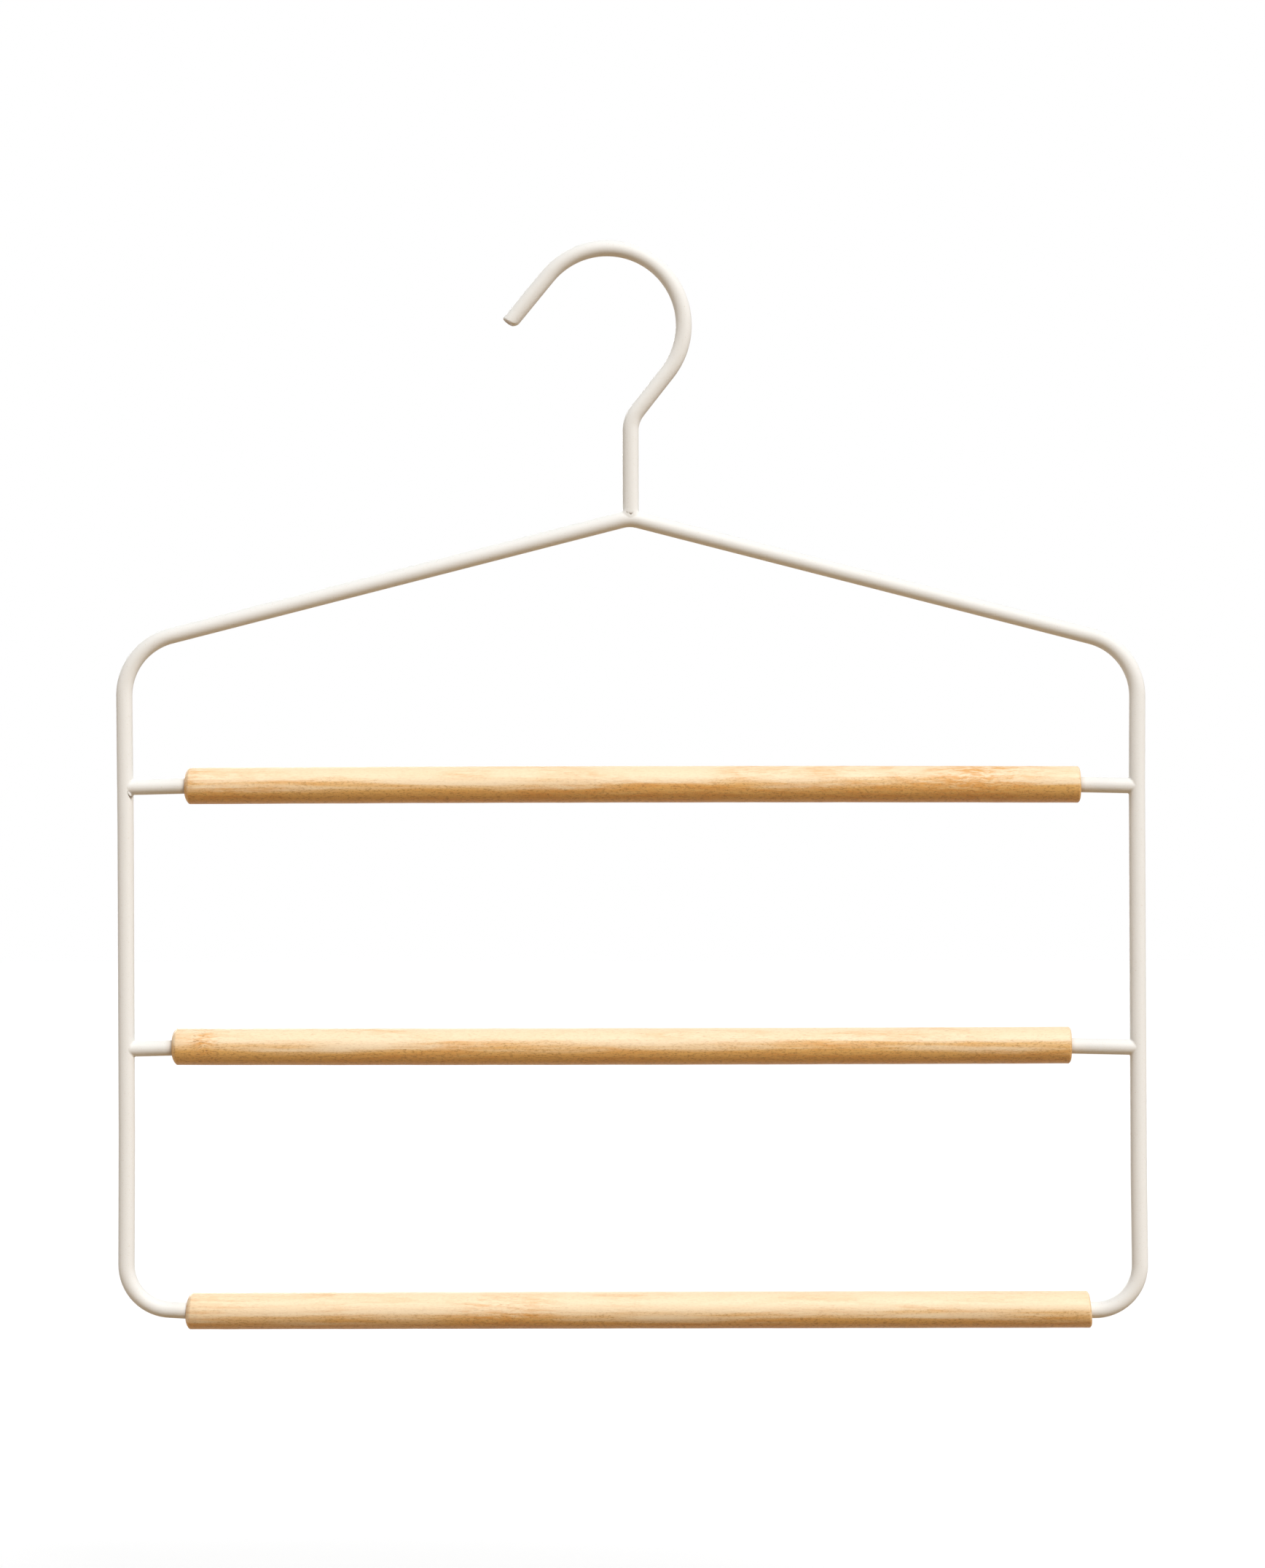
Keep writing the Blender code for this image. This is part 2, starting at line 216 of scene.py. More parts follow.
class HangerHookSizes(bpy.types.PropertyGroup):
    """Sizes of the hook's wire, from its foot up"""

    wire_radius: length("Wire radius", "Half the coated wire's thickness", HOOK_HIGH.y)
    drift: length("Drift", "How far the hook stands right of true", 0.0003)
    stem_run: length("Stem", "Straight wire over the apex", 0.02976)
    neck_bend: length("Neck bend", "Bend radius over the stem", 0.01076)
    neck_lean: angle("Neck lean", "Lean of the neck from upright", 38.1)
    rail_bend: length("Rail bend", "Bend radius of the round that hangs on the rail", 0.02615)
    rail_sweep: angle("Rail sweep", "Turn of that round", 178.7)
    tip_run: length("Tip", "Straight wire at the free end", 0.0207)
    tip_edge: length("Tip edge", "Rounding of the sheared end", 0.0007)
    tip_round: number("Tip round", "Extra rounding of the tip's lower side, in tip edges", 2.0)
    tip_lean: angle("Tip cut lean", "Lean of the sheared face towards the front", 5)
    tip_slant: angle("Tip cut slant", "Slant of that face, which shortens the lower side", 5)
    tip_fade: length("Tip cut reach", "How far back the cut's lean is felt", 0.0042)
    tip_dish: length("Tip dish", "Hollow in the sheared face", 0.0003)
    cope_run: length("Foot reach", "How far up the stem its coped foot is felt", 0.0080)
    foot_climb: number("Foot climb", "How far the foot follows its bead up at the front", 0.95)


class HangerPinSizes(bpy.types.PropertyGroup):
    """Sizes of the four pins"""

    wire_radius: length("Pin radius", "Half the coated pin's thickness", PIN_HIGH.y)
    rise: angle("Rise", "Rise of each pin towards its bar", 1.3)
    crossing: length("Crossing", "Distance from the leg at which a pin meets its bar's axis", 0.026)
    end_edge: length("End edge", "Rounding of the hidden end", 0.0008)
    cope_run: length("Root reach", "How far along the pin its coped root is felt", 0.0040)
    sink: length("Sink", "How far a coped root is sunk into the wire that carries it", 0.0002)
    rub_start: length("Rub start", "Distance inside the bar at which the coat is rubbed", 0.0005)
    rub_fade: length("Rub fade", "Distance over which it begins", 0.0020)
    rub_share: number("Rub share", "How far the coat is rubbed there", 0.5)


class HangerWeldSizes(bpy.types.PropertyGroup):
    """Sizes of the weld beads"""

    side_ball: length("Side fillet", "Radius of a bead's hollow above and below a pin", 0.00045)
    front_ball: length("Front fillet", "Radius of a pin's bead at the front", 0.0015)
    back_ball: length("Back bead", "Radius of a bead at the back", 0.0030)
    bulge: number("Back bulge", "How far the back bead bulges, as a share of its radius", 0.20)
    ripple: number("Ripple", "How far the ripples of the back bead rise, as such a share", 0.02)
    drop_place: lengths(
        "Drop place",
        "Where the drop of filler lies from the upper left pin's root: right, back and up",
        (0.0017, -0.0022, -0.0021),
    )
    drop_size: lengths(
        "Drop size", "Half the drop's width, depth and height", (0.0008, 0.0005, 0.0013)
    )
    drop_slant: number("Drop slant", "Lean of the drop to the right for each unit up", -0.55)
    # Painted shade: how dark the drop's rim is painted where it meets the leg.
    drop_rim_shade: number("Drop scorch", "How dark the drop's rim is scorched", 0.8)
    hook_ball: length("Hook fillet", "Radius of the hook's bead at its sides", 0.0005)
    hook_front: length("Hook front fillet", "Radius of the hook's bead at the front", 0.0024)
    hook_climb: length("Hook climb", "How far that bead climbs the stem at the front", 0.0024)
    swell: length("Swell", "How far the hook's bead swells at the front", 0.00003)
    pit: length("Pit", "Depth of the larger pit at the front of the hook's bead", 0.00015)
    root: length("Root", "Depth of the bead's hidden side inside the wires", 0.0005)


class HangerBarSizes(bpy.types.PropertyGroup):
    """Sizes of the wooden bars, of which a row of three is for the upper, middle and bottom bar"""

    bore_clearance: length("Bore clearance", "Play between a wire and its bore", 0.00055)
    wire_insertion: length("Insertion", "Length of wire inside a bar", 0.0140)
    bore_spare: length("Spare depth", "Bore past the wire's end", 0.0060)
    drill_angle: angle("Drill point", "Whole angle of the drill's point", 118)
    mouth_edge: length("Mouth edge", "Broken edge of a bore's mouth", 0.0003)
    left_edge: lengths(
        "Left edge", "Rounding of left ends, along the bar and across its wall", (0.0017, 0.0029)
    )
    right_edge: lengths("Right edge", "The same of the right ends", (0.0008, 0.0011))
    edge_power: number("Edge power", "Shape of that rounding, of which 1 is an ellipse", 1.35)
    left_trims: lengths(
        "Left trims", "How much shorter each bar is at the left", (0.0003, 0.0010, 0.0008)
    )
    right_trims: lengths("Right trims", "The same at the right", (0.0005, 0.0001, -0.0003))
    left_skews: numbers("Left skews", "Slant of each left end, along for up", (0.01, 0.0, 0.07))
    right_skews: numbers("Right skews", "Slant of each right end", (-0.01, 0.0, -0.09))
    skew_reach: length("Skew reach", "How far from its end a bar feels the slant", 0.0300)
    lifts: lengths("Lifts", "How high each bar lies on its wires", (-0.0001, 0.0002, 0.0))
    bows: lengths("Bows", "Upward bow of each bar at its middle", (0.00030, -0.00020, 0))
    turning_wander: length("Turning wander", "Unevenness of the turned surface", 0.00003)


class HangerLooks(bpy.types.PropertyGroup):
    """Colours and finishes"""

    coat: colour("Coat", "Ivory powder coat", (0.865, 0.86, 0.832))
    # Painted shade: a darker, warm colour put in the hollows of the coat's sand.
    coat_hollow_shade: colour("Coat fleck", "Grains that sit deeper in the coat", (0.66, 0.58, 0.46))
    # Worn colour where the pins turn in their bars, and painted shade on the hook's sheared tip.
    bare_and_tip_shade: colour("Bare edge", "Coat rubbed or sheared thin", (0.42, 0.31, 0.20))
    # Painted shade: the dark colour put in the hook bead's pits and round the drop's rim.
    pit: colour("Pit", "Scorched metal in a weld's pit or rim", (0.16, 0.10, 0.05))
    coat_roughness: number("Coat roughness", "Roughness of the coat", 0.56)
    # Painted shade: how strongly the sand's hollows are darkened.
    hollow_shade_share: number("Fleck share", "How strongly those grains show", 0.62)
    grain_height: number("Coat grain", "Height of the coat's sand, in millimetres", 0.034)
    peel_height: number("Orange peel", "Height of the coat's slow waves, in millimetres", 0.03)
    # Painted light: the golden wood is drawn low on each bar and the cream wood high, a lit top
    # over a shaded underside, laid over the wood's own random pale band.
    wood: colour("Wood", "The golden heartwood", (0.81, 0.475, 0.15))
    wood_pale_and_lit: colour("Pale wood", "The cream sapwood", (0.94, 0.755, 0.51))
    # Painted light: the cream share grows upward, so the top reads lit and the underside shaded.
    lit_top_tilt: number("Sapwood tilt", "Growth of its share over each millimetre up", 0.08)
    wood_streak: colour("Streak", "Its orange streaks and late growth", (0.76, 0.375, 0.10))
    wood_grit: colour("Grit", "Its fine dark grit", (0.46, 0.215, 0.055))
    wood_pore: colour("Pore", "Its fine open pores", (0.50, 0.26, 0.09))
    wood_roughness: number("Wood roughness", "Roughness of the oiled wood", 0.50)
    pore_height: number("Pore depth", "Depth of the wood's pores, in millimetres", 0.035)
    oil: number("Oil", "Share of the oil's own sheen on the wood", 0.3)
    oil_roughness: number("Oil roughness", "Roughness of that sheen", 0.45)
    sheen: number("Sheen", "Strength of the plain reflection of wood and coat", 0.3)


class HangerStage(bpy.types.PropertyGroup):
    """The camera, lamps and floor"""

    lens: number("Lens", "Focal length", 100, unit="CAMERA")
    film: number("Film", "Long side of the picture on the film", 36, unit="CAMERA")
    field_height: length("Field height", "Height of the view at the hanger", 0.5335)
    view_x: length("View X", "The camera's place across", 0.00874)
    view_z: length("View Z", "The camera's height", -0.1796)
    roll: angle("Roll", "The camera's roll", 0.10)
    floor_drop: length("Floor drop", "Space between the hanger and the floor", 0.12)
    floor_size: length("Floor size", "Side of the floor", 12.0)
    floor_glow: number("Floor glow", "Light of its own that the floor shows the camera", 0.54)
    key: number("Key", "The key lamp's strength on a facing surface", 0.93)
    left_fill: number("Left fill", "The left lamp's strength", 0.24)
    right_fill: number("Right fill", "The right lamp's strength", 0.20)
    back_fill: number("Back fill", "The back lamp's strength", 0.45)
    spread: angle("Spread", "Width of each lamp in the sky", 26)
    sky: number("Sky", "The sky's strength", 0.17)
    bounce: colour("Bounce", "Colour that the floor throws back up", (0.34, 0.22, 0.10))
    floor_tone: colour("Floor tone", "Colour of the floor to the camera", (0.5, 0.5, 0.5))


def unit(vector):
    """The vector at length 1."""
    return vector / np.linalg.norm(vector)


def half_chord(radius, offset):
    """Half a circle's chord at an offset from its centre: sqrt(radius^2 - offset^2), or 0."""
    return np.sqrt(np.maximum(radius**2 - offset**2, 0))


def smooth_step(values, low, high):
    """0 up to low, 1 from high, and 3t^2 - 2t^3 between."""
    t = np.clip((values - low) / (high - low), 0, 1)
    return t * t * (3 - 2 * t)


def hump(values, centre, width):
    """A bell of height 1 at centre: exp(-((values - centre) / width)^2)."""
    return np.exp(-(((values - centre) / width) ** 2))


def to_front(around, power):
    """How far each angle round a wire faces the front: max(0, -sin(around))^power.

    With -around it is how far each faces the back.
    """
    return np.maximum(0, -np.sin(around)) ** power


def wander(along, around):
    """A turned surface's slow unevenness, from -1 to 1.

    It is the sum over WAVES of share * sin(TURN * along / length + whole * around + start).
    """
    return sum(
        part * np.sin(TURN * along / wave + whole * around + start)
        for wave, whole, start, part in WAVES
    )


def arc(centre, radius, start, sweep):
    """Points centre + radius * (cos a, sin a), with a running from start through sweep."""
    a = start + sweep * np.linspace(0, 1, max(2, math.ceil(abs(sweep) / BEND_TURN)))
    return np.asarray(centre) + radius * np.stack([np.cos(a), np.sin(a)], axis=-1)


def bent_route(corners, bends):
    """The line through the corners, with each inner corner rounded by an arc tangent to its runs.

    The arc's centre lies bend / sin(half the corner's angle) from the corner, on its bisector.
    """
    corners = [np.array(corner, float) for corner in corners]
    route = [corners[:1]]
    for before, corner, after, bend in zip(corners, corners[1:], corners[2:], bends):
        back = unit(before - corner)
        ahead = unit(after - corner)
        half = math.acos(back @ ahead) / 2
        centre = corner + unit(back + ahead) * bend / math.sin(half)
        first = corner + back * bend / math.tan(half) - centre
        last = corner + ahead * bend / math.tan(half) - centre
        start = math.atan2(first[1], first[0])
        sweep = math.remainder(math.atan2(last[1], last[0]) - start, TURN)
        route.append(arc(centre, bend, start, sweep))
    return np.concatenate(route + [corners[-1:]])


class Route:
    """A wire's axis in the XZ plane, read at any distance from its start."""

    def __init__(self, points):
        steps = np.linalg.norm(np.diff(points, axis=0), axis=1)
        self.points = points[np.concatenate([[True], steps > SAME_PLACE])]
        steps = np.linalg.norm(np.diff(self.points, axis=0), axis=1)
        self.distance = np.concatenate([[0], np.cumsum(steps)])
        self.length = self.distance[-1]
        self.slopes = np.gradient(self.points, self.distance, axis=0)

    def at(self, along):
        """The axis's points and its headings, of length 1, at the distances along."""
        axis, slope = (
            np.stack([np.interp(along, self.distance, column) for column in table.T], axis=-1)
            for table in (self.points, self.slopes)
        )
        return axis, slope / np.linalg.norm(slope, axis=-1, keepdims=True)


def round_angles(count):
    """Angles round a section, of which the last is followed by the first."""
    return np.arange(count) * TURN / count


def section_points(route, along, radius, around, push=0):
    """Points of a round section carried along a route.

    Point = axis(along) + push * heading + radius * (cos around * normal + sin around * Y), where
    the normal is the heading turned a quarter to the left in the XZ plane.
    """
    axis, heading = route.at(along)
    across = radius * np.cos(around)
    x = axis[..., 0] + push * heading[..., 0] - across * heading[..., 1]
    z = axis[..., 1] + push * heading[..., 1] + across * heading[..., 0]
    y = radius * np.sin(around) + np.zeros_like(x)
    return np.stack([x, y, z], axis=-1)


def edge_rows(extent, step, first_edge, last_edge):
    """Distances along a piece, and how far its surface is drawn in there.

    At each end the surface follows a quarter circle: along = e (1 - cos t), inset = e (1 - sin t).
    """
    turn = np.linspace(0, math.pi / 2, EDGE_ROWS)
    count = math.ceil((extent - first_edge - last_edge) / step)
    middle = np.linspace(first_edge, extent - last_edge, count + 1)[1:-1]
    rise = 1 - np.cos(turn)
    draw = 1 - np.sin(turn)
    along = np.concatenate([first_edge * rise, middle, extent - last_edge * rise[::-1]])
    inset = np.concatenate([first_edge * draw, 0 * middle, last_edge * draw[::-1]])
    return along, inset


def tube_faces(rows, sides):
    """Quads of a grid that closes round each row, and fans from its end rows to two pole points."""
    index = np.arange(rows * sides).reshape(rows, sides)
    following = np.roll(index, -1, axis=1)
    quads = np.stack([index[:-1], following[:-1], following[1:], index[1:]], axis=-1)
    first_pole = np.full(sides, rows * sides)
    first_fan = np.stack([first_pole, following[0], index[0]], axis=-1)
    last_fan = np.stack([first_pole + 1, index[-1], following[-1]], axis=-1)
    return quads.reshape(-1, 4), np.concatenate([first_fan, last_fan])


def ring_faces(rows, columns):
    """Quads of a grid that closes on itself both ways, and no fans."""
    index = np.arange(rows * columns).reshape(rows, columns)
    beside = np.roll(index, -1, axis=1)
    below = np.roll(index, -1, axis=0)
    quads = np.stack([index, beside, np.roll(beside, -1, axis=0), below], axis=-1)
    return quads.reshape(-1, 4), np.zeros((0, 3), int)


def with_poles(grid):
    """The grid's points in one list, followed by the middles of its first and last rows."""
    poles = [grid[0].mean(axis=0), grid[-1].mean(axis=0)]
    return np.concatenate([grid.reshape(-1, 3), poles])


def outward(points, faces):
    """The faces, turned over if the volume that they enclose is negative.

    The volume is the sum of p0 . (p1 x p2) / 6 over the triangles.
    """
    quads, fans = faces
    corners = np.concatenate([quads[:, [0, 1, 2]], quads[:, [0, 2, 3]], fans])
    first, second, third = (points[corners[:, k]] for k in range(3))
    if np.sum(first * np.cross(second, third)) < 0:
        return quads[:, ::-1], fans[:, ::-1]
    return quads, fans


def joined(points, faces, more_points, more_faces):
    """The faces of two closed shapes whose points lie in one list, each turned outwards first."""
    pairs = zip(outward(points, faces), outward(more_points, more_faces))
    return tuple(np.concatenate([first, second + len(points)]) for first, second in pairs)


def ellipsoid(centre, radii, slant):
    """A closed lump and its faces: centre + radii * (cos v cos a, cos v sin a, sin v).

    It leans by slant times the height over its centre, towards +X.
    """
    v = np.linspace(-0.5, 0.5, LUMP_ROWS)[:, None] * LUMP_SPAN * math.pi
    a = round_angles(LUMP_SIDES)
    ball = np.stack([np.cos(v) * np.cos(a), np.cos(v) * np.sin(a), np.sin(v) + 0 * a], axis=-1)
    lump = np.array(radii) * ball
    lump[..., 0] += slant * lump[..., 2]
    return with_poles(np.array(centre) + lump), tube_faces(LUMP_ROWS, LUMP_SIDES)


def put_piece(name, node, material, points, faces, marks=None):
    """Makes the mesh, with its faces outwards, in place of a CAD node and on that node's body.

    marks holds one number for each point by the name of the attribute that keeps it.
    """
    quads, fans = outward(points, faces)
    mesh = bpy.data.meshes.new(name)
    mesh.from_pydata(points.tolist(), [], quads.tolist() + fans.tolist())
    mesh.shade_smooth()
    mesh.set_sharp_from_angle(angle=SMOOTH_ANGLE)
    for mark, values in (marks or {}).items():
        attribute = mesh.attributes.new(mark, "FLOAT", "POINT")
        attribute.data.foreach_set("value", np.asarray(values, np.float32))
    mesh.materials.append(material)
    piece = bpy.data.objects.new(name, mesh)
    bpy.context.scene.collection.objects.link(piece)
    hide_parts(node)
    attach(piece, frame["nodes"][node]["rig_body"])


def put_steel(name, node, points, faces, marks=None):
    """Puts a steel piece in place, in the one powder coat that they all wear."""
    coat = bpy.data.materials.get(COAT) or coat_finish(bpy.context.scene.hanger_looks)
    put_piece(name, node, coat, points, faces, marks)


def operators(operation):
    """Python's operator and its reflected form, each of which adds a Math node."""

    def plain(signal, other):
        return signal.finish.maths(operation, signal, other)

    def reflected(signal, other):
        return signal.finish.maths(operation, other, signal)

    return plain, reflected


class Signal:
    """A node's output. Arithmetic on it adds Math nodes to the same finish."""

    __add__, __radd__ = operators("ADD")
    __sub__, __rsub__ = operators("SUBTRACT")
    __mul__, __rmul__ = operators("MULTIPLY")
    __truediv__, __rtruediv__ = operators("DIVIDE")
    __pow__, __rpow__ = operators("POWER")

    def __init__(self, finish, socket):
        self.finish = finish
        self.socket = socket

    def output(self, key):
        """Another output of the same node."""
        return Signal(self.finish, self.finish.find(self.socket.node.outputs, key))


class Finish:
    """The nodes of a material, or of the world."""

    def __init__(self, owner):
        owner.use_nodes = True
        self.owner = owner
        self.tree = owner.node_tree
        self.tree.nodes.clear()

    def node(self, kind, settings, sockets, output=0):
        """Adds a shader node: its settings first, then its sockets' values or links."""
        node = self.tree.nodes.new("ShaderNode" + kind)
        for key, value in settings.items():
            setattr(node, key, value)
        for key, value in sockets.items():
            socket = self.find(node.inputs, key)
            if isinstance(value, Signal):
                self.tree.links.new(value.socket, socket)
            else:
                socket.default_value = value
        return Signal(self, self.find(node.outputs, output)) if node.outputs else None

    @staticmethod
    def find(sockets, key):
        """A socket by its number, or the one in use that has the name."""
        if isinstance(key, int):
            return sockets[key]
        return next(socket for socket in sockets if socket.enabled and socket.name == key)

    def maths(self, operation, *operands):
        """The operation on numbers or signals."""
        return self.node("Math", {"operation": operation}, dict(enumerate(operands)))

    def vector(self, operation, first, second, output=0):
        """The operation on two vectors."""
        return self.node("VectorMath", {"operation": operation}, {0: first, 1: second}, output)

    def mix(self, share_of_second, first, second):
        """The first colour, passing to the second as the share goes from 0 to 1."""
        pair = [c if isinstance(c, Signal) else (*c, 1) for c in (first, second)]
        sockets = {"Factor": share_of_second, "A": pair[0], "B": pair[1]}
        return self.node("Mix", {"data_type": "RGBA"}, sockets, "Result")

    def place(self, centre=(0, 0, 0), turn=0):
        """Object coordinates in millimetres from a centre, turned about X."""
        spot = self.node("TexCoord", {}, {}, "Object")
        scale = (MILLIMETRE,) * 3
        sockets = {"Vector": spot, "Location": centre, "Rotation": (turn, 0, 0), "Scale": scale}
        return self.node("Mapping", {"vector_type": "TEXTURE"}, sockets)

    def noise(self, vector, scale=1.0, detail=2.0, roughness=0.5, output="Fac"):
        """Smooth noise, about 0 to 1."""
        sockets = {"Vector": vector, "Scale": scale, "Detail": detail, "Roughness": roughness}
        return self.node("TexNoise", {}, sockets, output)

    def ramp(self, value, low, high):
        """0 where the value is low, 1 where it is high, eased between."""
        sockets = {"Value": value, "From Min": low, "From Max": high}
        return self.node("MapRange", {"interpolation_type": "SMOOTHSTEP"}, sockets, "Result")

    def mark(self, name):
        """A number that the mesh keeps for each point."""
        return self.node("Attribute", {"attribute_name": name}, {}, "Fac")

    def bump(self, height):
        """The normal on a surface raised by a height in millimetres."""
        return self.node("Bump", {}, {"Height": height, "Distance": MILLIMETRE}, "Normal")

    def seen(self):
        """1 for the camera and for what shows in or through other things, and 0 for the rest."""
        path = self.node("LightPath", {}, {}, "Is Camera Ray")
        rays = path + path.output("Is Glossy Ray") + path.output("Is Transmission Ray")
        return self.maths("MINIMUM", rays, 1)

    def surface(self, shader, output="OutputMaterial"):
        """Ends the tree with the shader, and returns the material or the world."""
        self.node(output, {}, {"Surface": shader})
        return self.owner


# The middle of a noise's values.
MIDDLE = 0.5

# The coat: how far its slow tone shifts it, how far rubbing wears it through or painted shade
# darkens the hook's sheared tip, how much rougher its grains are, and how much smoother rubbing
# makes it.
TONE_SHARE = 0.10
BARE_AND_SHADE_SHARE = 0.8
GRAIN_ROUGHNESS = 0.10
RUB_POLISH = 0.15


def coat_finish(looks):
    """Ivory powder coat: a satin skin of fused grains, with a fine sand and a soft orange peel."""
    finish = Finish(bpy.data.materials.new(COAT))
    spot = finish.place()
    sand = finish.noise(spot, scale=2.6, detail=3.0, roughness=0.62)
    peel = finish.noise(spot, scale=0.55, detail=1.0)
    tone = finish.noise(spot, scale=0.07, detail=2.0) - MIDDLE
    # Painted shade: the lowest grains of the sand are darkened towards the hollow colour; the slow
    # tone is the coat's own random tone.
    grains = finish.ramp(sand, low=0.40, high=0.26)
    rub_and_tip_shade = finish.mark("rub_and_tip_shade")
    fleck = grains * looks.hollow_shade_share + tone * TONE_SHARE
    tinted = finish.mix(fleck, looks.coat, looks.coat_hollow_shade)
    # Rubbing wears the pins' coat inside their bars; on the hook's sheared tip the same mark paints
    # the face's shade.
    rubbed = finish.mix(rub_and_tip_shade * BARE_AND_SHADE_SHARE, tinted, looks.bare_and_tip_shade)
    height = sand * looks.grain_height + peel * looks.peel_height
    sockets = {
        # Painted shade: the pit mark darkens the hook bead's pits and the drop's rim.
        "Base Color": finish.mix(finish.mark("pit"), rubbed, looks.pit),
        "Roughness": looks.coat_roughness + GRAIN_ROUGHNESS * grains - RUB_POLISH * rub_and_tip_shade,
        "Specular IOR Level": looks.sheen,
        "Normal": finish.bump(height),
    }
    return finish.surface(finish.node("BsdfPrincipled", {}, sockets))


# How each bar's billet was cut: turn of the figure about the bar, distance of the heart from the
# bar's axis in millimetres, place along the tree, share of pale wood (which also sets how far down
# the painted lit top reaches) and of streaks, how open the pores are, where on the bar its curl
# lies in millimetres, how wide and how strong that is, and how far it is a knot.
Billet = namedtuple("Billet", "turn heart along pale streaks pores curl width power knot")
BILLETS = {
    "upper_bar": Billet(
        turn=0.9, heart=(14.0, 31.0), along=40.0, pale=0.42, streaks=0.75, pores=0.35,
        curl=(122.0, -6.0, -1.0), width=26.0, power=2.2, knot=0.0,
    ),
    "middle_bar": Billet(
        turn=2.2, heart=(26.0, 18.0), along=460.0, pale=0.50, streaks=0.50, pores=0.90,
        curl=(-141.5, -6.0, 0.6), width=8.0, power=3.4, knot=1.0,
    ),
    "bottom_bar": Billet(
        turn=4.0, heart=(9.0, 24.0), along=905.0, pale=0.95, streaks=0.42, pores=0.45,
        curl=(-40.0, -6.0, -2.0), width=24.0, power=1.5, knot=0.0,
    ),
}

# The noises that draw the wood's figure: how fast each changes along and across the bar for each
# millimetre, its detail and roughness, and for a mask the values at which it begins and is whole.
FIGURES = {
    "sway": (0.011, 0.05, 1.0, 0.5, None),
    "lean": (0.0102, 0.034, 0.0, 0.5, None),
    "waver": (0.06, 0.8, 3.0, 0.5, None),
    "band": (0.018, 0.38, 3.0, 0.5, None),
    "fibre": (0.30, 4.6, 2.0, 0.7, None),
    "patch": (0.022, 0.12, 2.0, 0.5, (0.40, 0.62)),
    "mottle": (0.16, 0.95, 4.0, 0.65, (0.38, 0.64)),
    "specks": (0.75, 1.9, 3.0, 0.75, (0.48, 0.66)),
    "dashes": (0.50, 2.8, 1.0, 0.5, (0.60, 0.74)),
}

# The growth rings: how far the heart wanders both ways, how wide a ring is and how uneven, all in
# millimetres, and where its late growth starts and stops, as shares of a ring.
HEART_SWAY = 9
HEART_LEAN = 16
RING_WIDTH = 2.3
RING_WAVER = 0.9
LATE_START = (0.45, 0.92)
LATE_STOP = (0.94, 1.0)

# The curl: the share of its width over which it is whole, and how fast its swirl changes.
CURL_CORE = 0.15
CURL_SWIRL = 0.16

# Shares in which the parts of the figure mix, and the specks' depth in millimetres. Pale wood,
# which includes the painted lit top, calms the streaks, pores and specks.
PALE_LIMITS = (0.30, 0.70)
PALE_SPREAD = 0.35
PALE_CALM = 0.5
PATCH_PORES = 0.50
CURL_PORES = 0.60
CURL_STREAKS = 1.4
LATE_STREAKS = 0.12
PATCH_LATE_STREAKS = 0.35
FIBRE_STREAKS = 0.35
SPECK_SHARE = 0.72
SPECK_CALM = 0.60
PORE_SHARE = 0.45
END_SHARE = 0.26
SPECK_DEPTH = 0.04
PALE_SPECK_RISE = 0.028
PORE_ROUGHNESS = 0.20
END_ROUGHNESS = 0.30
FIBRE_ROUGHNESS = 0.10


